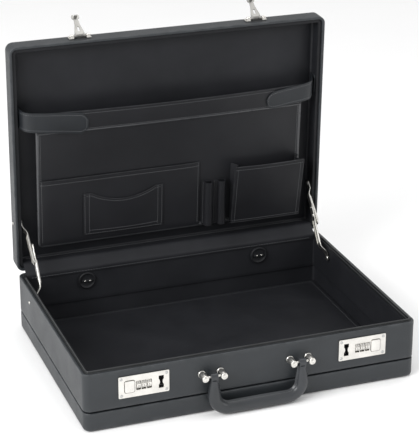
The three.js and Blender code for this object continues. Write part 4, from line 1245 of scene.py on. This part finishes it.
def expansion_knob():
    """A dished disc with a raised ring, a thumb bar across it, and two bright rivets in the bar."""
    shape = Shape()
    face = BACK - 8.9
    ring = [(KNOB_R - 4.6, -1.7), (KNOB_R - 3.2, -2.0), (KNOB_R - 2.4, -3.1), (KNOB_R - 1.7, -3.4)]
    ring += [(KNOB_R - 1.0, -3.2), (KNOB_R - 0.2, -2.5), (KNOB_R, -1.8), (KNOB_R, 0)]
    profile = [(0, -1.6)] + ring + [(2.6, 0), (2.6, 2), (0, 2)]
    lathe(shape, [(r, face + a) for r, a in profile], (KNOB_X, 0, KNOB_Z), "y", 48)
    bar = [(0, -1.2), (0, -3.7), (0.25, -4.15), (0.7, -4.4), (1.5, -4.4)]
    layers = [(inset, face + y) for inset, y in bar]
    stack(shape, layers, 7.5, 2.2, 2.1, 0.3, 5, front_axes(KNOB_X, KNOB_Z))
    for x in (-3.4, 3.4):
        rivet_head(shape, KNOB_X + x, face - 4.35, KNOB_Z, 1.3, 0.6, look=1)
    tooth = [(0, face - 2.3), (0.55, face - 2.3), (0.7, face - 1.9), (0.7, face - 0.3), (0, face - 0.3)]
    for k in range(24):
        angle = 2 * math.pi * k / 24
        x, z = KNOB_X + (KNOB_R - 0.2) * math.cos(angle), KNOB_Z + (KNOB_R - 0.2) * math.sin(angle)
        lathe(shape, tooth, (x, 0, z), "y", 8)
    looks = [MATT_TRIM_AND_RIM_SHADE, NICKEL]
    make_pair("knob", shape, looks, "expansion_knob_%s", "black_trim", ["expansion_knob"], angle=50)


expansion_knob()

# ---------------------------------------------------------------- organizer

OUT = ORGANIZER.to_3x3() @ Vector((0, 0, 1))
POCKET_FOOT = 2.0
BOW = 9.0
BOW_FOOT = 99.0


def bowed(point):
    """The panel stands forward along the middle of its top edge, above the pockets."""
    share = max(point.y - BOW_FOOT, 0.0) / (PANEL_HEIGHT - BOW_FOOT)
    middle = max(1 - (point.x / PANEL_HALF) ** 2, 0.0)
    return Vector((point.x, point.y, point.z + BOW * share * share * middle))


def row_on(height, start, end, parts=24, out=0.0):
    """A straight row of points across the panel at one height."""
    return [(start + (end - start) * k / parts, height, out) for k in range(parts + 1)]


def sew(shape, path):
    """Stitches along a path given on the panel."""
    path = [shape.placed(p) for p in path]
    place, bend = shape.place, shape.bend
    shape.place, shape.bend = WORLD, None
    stitches(shape, path, OUT, 1)
    shape.place, shape.bend = place, bend


def piping(shape, path, radius, look=0):
    """A round edge or welt lying on the panel along a path."""
    points = [Vector(p) for p in path]
    sweep(shape, points, Vector((0, 0, 1)), ellipse(radius, radius, 10), look=look, wear=0.5)


def panel():
    """The stiff board in leather, with a bound edge."""

    def middle(s, t):
        return ((2 * s - 1) * (PANEL_HALF - 0.4), 0.4 + (PANEL_HEIGHT - 0.8) * t, -1.5)

    shape = Shape(ORGANIZER, bowed)
    sheet(shape, middle, 48, 32, 3.0)
    right, foot, top = PANEL_HALF - 1.6, 1.6, PANEL_HEIGHT - 1.6
    side = [foot + 5 + (top - foot - 5) * k / 20 for k in range(1, 20)] + [top]
    bottom = corner(4 - right, foot + 4, 4, 180, 270, 4) + corner(right - 4, foot + 4, 4, 270, 360, 4)
    border = [(-right, b) for b in reversed(side)] + bottom + [(right, b) for b in side]
    binding = [(2.3, -1.6), (2.3, 0.6), (1.7, 1.5), (0.4, 1.9), (-1.0, 1.7), (-2.1, 1.2), (-2.5, 0.7)]
    binding += [(-2.5, -1.6)]
    edge = [Vector((a, b, -0.9)) for a, b in border]
    # look 2 is the lighter leather, a painted highlight along the binding.
    sweep(shape, edge, Vector((0, 0, 1)), binding, look=2, wear=0.35)
    seam_x = right - 3.3
    for x in (-seam_x, seam_x):
        sew(shape, [(x, b, 0.25) for b in (top - 30, foot + 8, foot + 3.3)])
    sew(shape, [(-seam_x, foot + 3.6, 0.25), (seam_x, foot + 3.6, 0.25)])
    looks = [POCKET_LEATHER, DARK_THREAD, PIPING_PAINTED_HIGHLIGHT]
    make("organizer_board", shape, looks, "organizer", "black_leather", ["organizer_panel"])


def panel_band():
    """The band across the panel's top: a folded strip with a rolled lower edge."""
    low, high = PANEL_HEIGHT - BAND_HEIGHT, PANEL_HEIGHT - 0.6
    end, seam_end = PANEL_HALF - 0.5, PANEL_HALF - 3

    def surface(s, t):
        out = 0.75 + 0.18 * math.sin(math.pi * t) + 0.1 * (unevenness(s * 380, t * 30, 5, 30) - 0.5)
        return ((2 * s - 1) * (PANEL_HALF - 0.4), low + (high - low) * t, out)

    shape = Shape(ORGANIZER, bowed)
    sheet(shape, surface, 60, 8, 0.9)
    # The lower edge takes the lighter leather, a painted highlight. The upper edge keeps the pocket
    # leather.
    piping(shape, row_on(low, -end, end, 40, 0.8), 1.4, 2)
    piping(shape, row_on(high + 0.2, -end, end, 40, 0.2), 1.3)
    for height in (low + 2.6, high - 3.0):
        sew(shape, row_on(height, -seam_end, seam_end, 30, 1.3))
    looks = [POCKET_LEATHER, DARK_THREAD, PIPING_PAINTED_HIGHLIGHT]
    make("organizer_band", shape, looks, "organizer", "black_leather")


def pocket(name, node, shape, width, length, held, rests_on, **more):
    """A pocket sewn from one sheet of leather, cut flat to this width and length, which are not used."""
    looks = [POCKET_LEATHER, DARK_THREAD]
    piece = make(name, shape, looks, "organizer", "black_leather", [node])


def flat_pocket_surface(left, right, foot, mouth, behind, fullness, mouth_drop=None):
    """A pocket's sheet: sewn down at its sides and foot, standing off the panel between them."""

    def surface(s, t):
        top = mouth - (mouth_drop(s) if mouth_drop else 0.0)
        rise = min(s, 1 - s) * (right - left) / 10.0
        lift = min(t * (mouth - foot) / 8.0, 1.0)
        edge = (1 - math.exp(-rise * 1.6)) * (1 - math.exp(-lift * 3))
        belly = 0.6 + 0.4 * t
        wave = 0.5 * (unevenness(s * (right - left), t * (mouth - foot), behind * 9, 45) - 0.5)
        out = behind + (fullness * belly + wave) * edge
        return (left + (right - left) * s, foot + (top - foot) * t, out)

    return surface


def document_pocket():
    left, right, mouth = -190.0, 42.0, 99.0
    surface = flat_pocket_surface(left, right, POCKET_FOOT, mouth, 0.9, 2.3)
    shape = Shape(ORGANIZER)
    sheet(shape, surface, 60, 24, 1.0)
    piping(shape, across(surface, 1.0, 40), 0.85)
    sew(shape, across(surface, 0.945, 40, (0, 0, 0.62)))
    for s in (0.012, 0.988):
        sew(shape, upward(surface, s, 24, (0, 0, 0.6))[1:])
    width, length = right - left, mouth - POCKET_FOOT
    names = ("document_pocket_leather", "document_pocket")
    pocket(*names, shape, width, length, "stretched", "organizer_board")


def card_pocket():
    """Sewn on the document pocket with a double row of stitches; its mouth dips in the middle."""
    left, right, foot, mouth, dip, shoulder = -129.0, -13.0, 11.0, 74.0, 13.0, 12
    width, length = right - left, mouth - foot
    dip_width = width - 2 * shoulder

    def drop(s):
        inside = min(max((s * width - shoulder) / dip_width, 0.0), 1.0)
        return dip * math.sin(math.pi * inside) ** 0.8 if 0 < inside < 1 else 0.0

    surface = flat_pocket_surface(left, right, foot, mouth, 4.3, 1.3, drop)
    shape = Shape(ORGANIZER)
    sheet(shape, surface, 60, 20, 0.9)
    piping(shape, across(surface, 1.0, 60), 0.7)
    for pull in (0.018, 0.07):
        foot_row = [Vector(surface(pull + (1 - 2 * pull) * k / 30, pull * 1.6)) for k in range(31)]
        for row in (upward(surface, pull, 20)[:0:-1], foot_row, upward(surface, 1 - pull, 20)[1:]):
            sew(shape, [p + Vector((0, 0, 0.55)) for p in row])
    sew(shape, across(surface, 0.975, 60, (0, -1.6, 0.55))[2:-2])
    area = (width * length - 0.6 * dip * dip_width) * MM * MM
    names = ("card_pocket_leather", "card_pocket")
    pocket(*names, shape, width, length, "stretched", "document_pocket_leather", area=area)


def pen_sleeves():
    """One strip of leather looped twice over a backing, so that each loop takes a pen."""
    foot, top = POCKET_FOOT, POCKET_FOOT + 67.0
    height = top - foot
    radius, centre = 5.3, 6.1
    outline = [(46.5, 1.7), (48.4, 1.8)]
    for x, after in ((54.0, (8.0, 10.0)), (74.0, (6.4, 7.6))):
        angles = [math.radians(-62 - 236 * k / 20) for k in range(21)]
        outline += [(x + radius * math.sin(a), centre - radius * math.cos(a)) for a in angles]
        outline += [(x + after[0], 1.8), (x + after[1], 1.7)]
    path = [Vector((a, 0, b)) for a, b in outline]
    total = path_length(path)

    def surface(s, t):
        point = walk(path, s * total)
        pinch = 1 - 0.10 * math.sin(math.pi * t) * (point.z > 3)
        return (point.x, foot + height * t, 1.5 + (point.z - 1.5) * pinch)

    def backing_place(a, b, c):
        return (64.0 + a, foot + height / 2 + b, c)

    shape = Shape(ORGANIZER)
    sheet(shape, surface, 96, 12, 1.0)
    backing = [(4, 0.3), (0, 0.3), (0, 1.0), (0.3, 1.3), (4, 1.3)]
    half_backing = 18.0
    stack(shape, backing, half_backing, height / 2, 1.2, 1.2, 3, backing_place)
    for x in (47.2, 64.0, 81.0):
        sew(shape, [(x, foot + 1, 2.25), (x, top - 1, 2.25)])
    width = total + 2 * half_backing
    names = ("pen_sleeve_leather", "pen_holder")
    pocket(*names, shape, width, height, "gathered", "organizer_board")


def gusset_pocket():
    """A bellows pocket: a front that stands off at its mouth, and sides folded inwards."""
    left, right, foot, mouth = 88.0, 191.0, POCKET_FOOT, 93.0
    width, height = right - left, mouth - foot
    foot_depth, mouth_depth = 12.0, 24.0
    side_width, base_width = 25.0, 11.0

    def depth(t):
        return foot_depth + (mouth_depth - foot_depth) * t

    def front(s, t):
        belly = 1.6 * math.sin(math.pi * s) * math.sin(math.pi * min(t + 0.15, 1.0))
        wave = 0.6 * (unevenness(s * 103, t * 90, 77, 34) - 0.5)
        sag = 1.2 * math.sin(math.pi * s) * t**3
        return (left + width * s, foot + height * t - sag, depth(t) - 0.5 - 0.9 + belly * 0.6 + wave)

    def base(s, t):
        return (left + 0.8 + (width - 1.6) * s, foot + 0.6, 0.9 + (foot_depth - 2.2) * t)

    shape = Shape(ORGANIZER)
    sheet(shape, front, 40, 26, 1.3)
    for x, way in ((left, 1), (right, -1)):

        def side(s, t):
            fold = 7.0 * (0.35 + 0.65 * t) * (1 - abs(2 * s - 1))
            return (x + way * (0.7 + fold), foot + (height - 1.0) * t, 0.9 + (depth(t) - 2.6) * s)

        sheet(shape, side, 10, 16, 1.1)
    sheet(shape, base, 24, 6, 1.1)
    piping(shape, across(front, 1.0, 30), 0.95)
    for s in (0.0, 1.0):
        sweep(shape, upward(front, s, 24), Vector((1, 0, 0)), ellipse(1.0, 1.0, 10), wear=0.5)
    piping(shape, across(front, 0.0, 30), 1.0)
    lift = (0, 0.1, 0.75)
    sew(shape, across(front, 0.95, 30, lift))
    for s in (0.04, 0.96):
        sew(shape, upward(front, s, 24, lift)[:-1])
    sew(shape, across(front, 0.035, 30, lift))
    cut_width, cut_length = width + 2 * side_width, height + base_width
    area = (width * cut_length + 2 * side_width * height) * MM * MM
    names = ("gusset_pocket_leather", "gusset_pocket")
    pocket(*names, shape, cut_width, cut_length, "folded", "organizer_board", area=area)


panel()
panel_band()
document_pocket()
card_pocket()
pen_sleeves()
gusset_pocket()

# ---------------------------------------------------------------- straps

STITCH_LIFT = 1.05


def strap(side, plan, foot, width, tip):
    """A leather strap from the lid's side wall round onto the panel, where its foot and width are given.

    Its plan is (across, out), from the wall on, and is joined by a smooth curve through its points. The tip
    gives the share of its width near the cut end.
    """
    path = []
    corners = [Vector((a, 0, b)) for a, b in plan]
    for i in range(len(corners) - 1):
        a, b, c = corners[max(i - 1, 0)], corners[i], corners[i + 1]
        d = corners[min(i + 2, len(corners) - 1)]
        for k in range(8):
            t = k / 8
            squared, cubed = 2 * a - 5 * b + 4 * c - d, 3 * b - a - 3 * c + d
            path.append(0.5 * (2 * b + (c - a) * t + squared * t * t + cubed * t**3))
    path.append(corners[-1])
    length = path_length(path)
    end_middle, middle = STRAP_END_FOOT + STRAP_END_WIDTH / 2, foot + width / 2

    def surface(s, t):
        point = walk(path, s * length)
        wide = STRAP_END_WIDTH + (width - STRAP_END_WIDTH) * s
        up = end_middle + (middle - end_middle) * s + (t - 0.5) * wide * tip((1 - s) * length)
        cup = 0.35 * (1 - (2 * t - 1) ** 2)
        return (point.x, up, point.z + cup)

    shape = Shape(ORGANIZER, bowed)
    sheet(shape, surface, 72, 10, 2.0)
    for t in (0.1, 0.9):
        edge = [Vector(surface(k / 72, 0.5 + (t - 0.5) * 0.96)) for k in range(1, 71)]
        outward = []
        for i, point in enumerate(edge):
            way = edge[min(i + 1, len(edge) - 1)] - edge[max(i - 1, 0)]
            normal = Vector((-way.z, 0, way.x)).normalized()
            if normal.z < -0.2:
                normal = -normal
            outward.append(point + normal * STITCH_LIFT)
        sew(shape, outward)
    end = [Vector(surface(1 - 2.6 / length, 0.12 + 0.76 * k / 8)) for k in range(9)]
    sew(shape, [point + Vector((0, 0, STITCH_LIFT)) for point in end])
    looks = [STRAP_LEATHER, DARK_THREAD]
    piece = make(f"strap_{side}_leather", shape, looks, None, "black_leather", [f"strap_{side}"])
    sign = 1 if side == "right" else -1
    end = ORGANIZER @ Vector((sign * 213.0, 190.0, 4.0))
    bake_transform(piece)


def blunt_point(distance):
    """The share of the strap's width that far from its cut end: a blunt point."""
    return 10 / 26 + 16 / 26 * min(distance / 9.0, 1.0)


def round_end(distance):
    share = min(distance / 13.0, 1.0)
    return max(math.sqrt(max(1 - (1 - share) ** 2, 0.0)), 0.12)


def straps():
    left_plan = [(-214.2, -20), (-213.4, -12), (-211.4, -4), (-206.5, 2.6), (-197, 5.6), (-184, 5.4)]
    left_plan += [(-168, 4.0), (-150, 2.6), (-121, 2.1)]
    strap("left", left_plan, 163.5, 32.0, blunt_point)
    right_plan = [(214.0, -20), (212.4, -13), (209.4, -5), (204.0, 2.0), (195.0, 5.0), (182.0, 4.2)]
    right_plan += [(168.0, 3.0), (138.0, 2.1)]
    strap("right", right_plan, 167.0, 26.0, round_end)


def strap_anchors():
    """A leather tab under the strap's end, on each side wall of the lid."""
    shape = Shape(CLOSED_TO_OPEN)
    wall = HALF_WIDTH - 8.9
    middle = PANEL_FOOT_Y - STRAP_END_FOOT - STRAP_END_WIDTH / 2
    layers = [(4, wall), (0, wall), (0, wall - 0.9), (0.25, wall - 1.2), (4, wall - 1.2)]
    axes = side_axes(z=RIM_Z + 14.5)
    stack(shape, layers, STRAP_END_WIDTH / 2, 7.5, 1.6, 1.6, 4, lambda a, b, c: axes(middle + a, b, c))
    make_pair("strap_tab", shape, [CASE_LEATHER], "lid", "black_leather", ["strap_anchor"])


straps()
strap_anchors()

# ---------------------------------------------------------------- the CAD node that is shown as it is

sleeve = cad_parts["expansion_sleeve"]
sleeve.data.materials.clear()
sleeve.data.materials.append(LINING)

# ---------------------------------------------------------------- camera, light and floor

TARGET = Vector((-2.1, 0.0, 194.2)) * MM
AZIMUTH = math.radians(-20.05)
ELEVATION = math.radians(22.38)
DISTANCE = 2.2379
SENSOR = 36.0
LENS = 140.5
FLOOR_REACH = 9.0

camera = bpy.data.cameras.new("camera")
camera.sensor_fit = "AUTO"
camera.sensor_width = SENSOR
camera.lens = LENS
camera.clip_end = 50.0
eye = bpy.data.objects.new("camera", camera)
level = math.cos(ELEVATION)
towards_eye = Vector((math.sin(AZIMUTH) * level, -math.cos(AZIMUTH) * level, math.sin(ELEVATION)))
eye.location = TARGET + towards_eye * DISTANCE
eye.rotation_euler = towards_eye.to_track_quat("Z", "Y").to_euler()
bpy.context.scene.collection.objects.link(eye)
bpy.context.scene.camera = eye


def softbox(name, place, aim, size, power):
    lamp = bpy.data.lights.new(name, "AREA")
    lamp.shape = "RECTANGLE"
    lamp.size, lamp.size_y = size
    lamp.energy = power
    box = bpy.data.objects.new(name, lamp)
    box.location = place
    box.rotation_euler = (Vector(place) - Vector(aim)).to_track_quat("Z", "Y").to_euler()
    bpy.context.scene.collection.objects.link(box)


softbox("key_light", (-1.9, -1.0, 1.4), (0, 0, 0.12), (1.4, 1.0), 47)
softbox("top_light", (0.2, 0.3, 2.3), (0, 0, 0.1), (1.8, 1.4), 14)
softbox("fill_light", (1.9, -1.3, 1.0), (0, 0, 0.2), (1.2, 1.2), 9)

world = bpy.data.worlds.new("studio")
world.use_nodes = True
background = world.node_tree.nodes["Background"]
background.inputs["Color"].default_value = (1.0, 1.0, 1.0, 1)
background.inputs["Strength"].default_value = 0.75
bpy.context.scene.world = world
bpy.context.scene.view_settings.view_transform = "Standard"

ground = bpy.data.meshes.new("floor")
corners = [(x * FLOOR_REACH, y * FLOOR_REACH, 0) for x, y in ((-1, -1), (1, -1), (1, 1), (-1, 1))]
ground.from_pydata(corners, [], [[0, 1, 2, 3]])
ground.materials.append(floor_paper())
floor = bpy.data.objects.new("floor", ground)
floor.location.z = -0.0002
bpy.context.scene.collection.objects.link(floor)
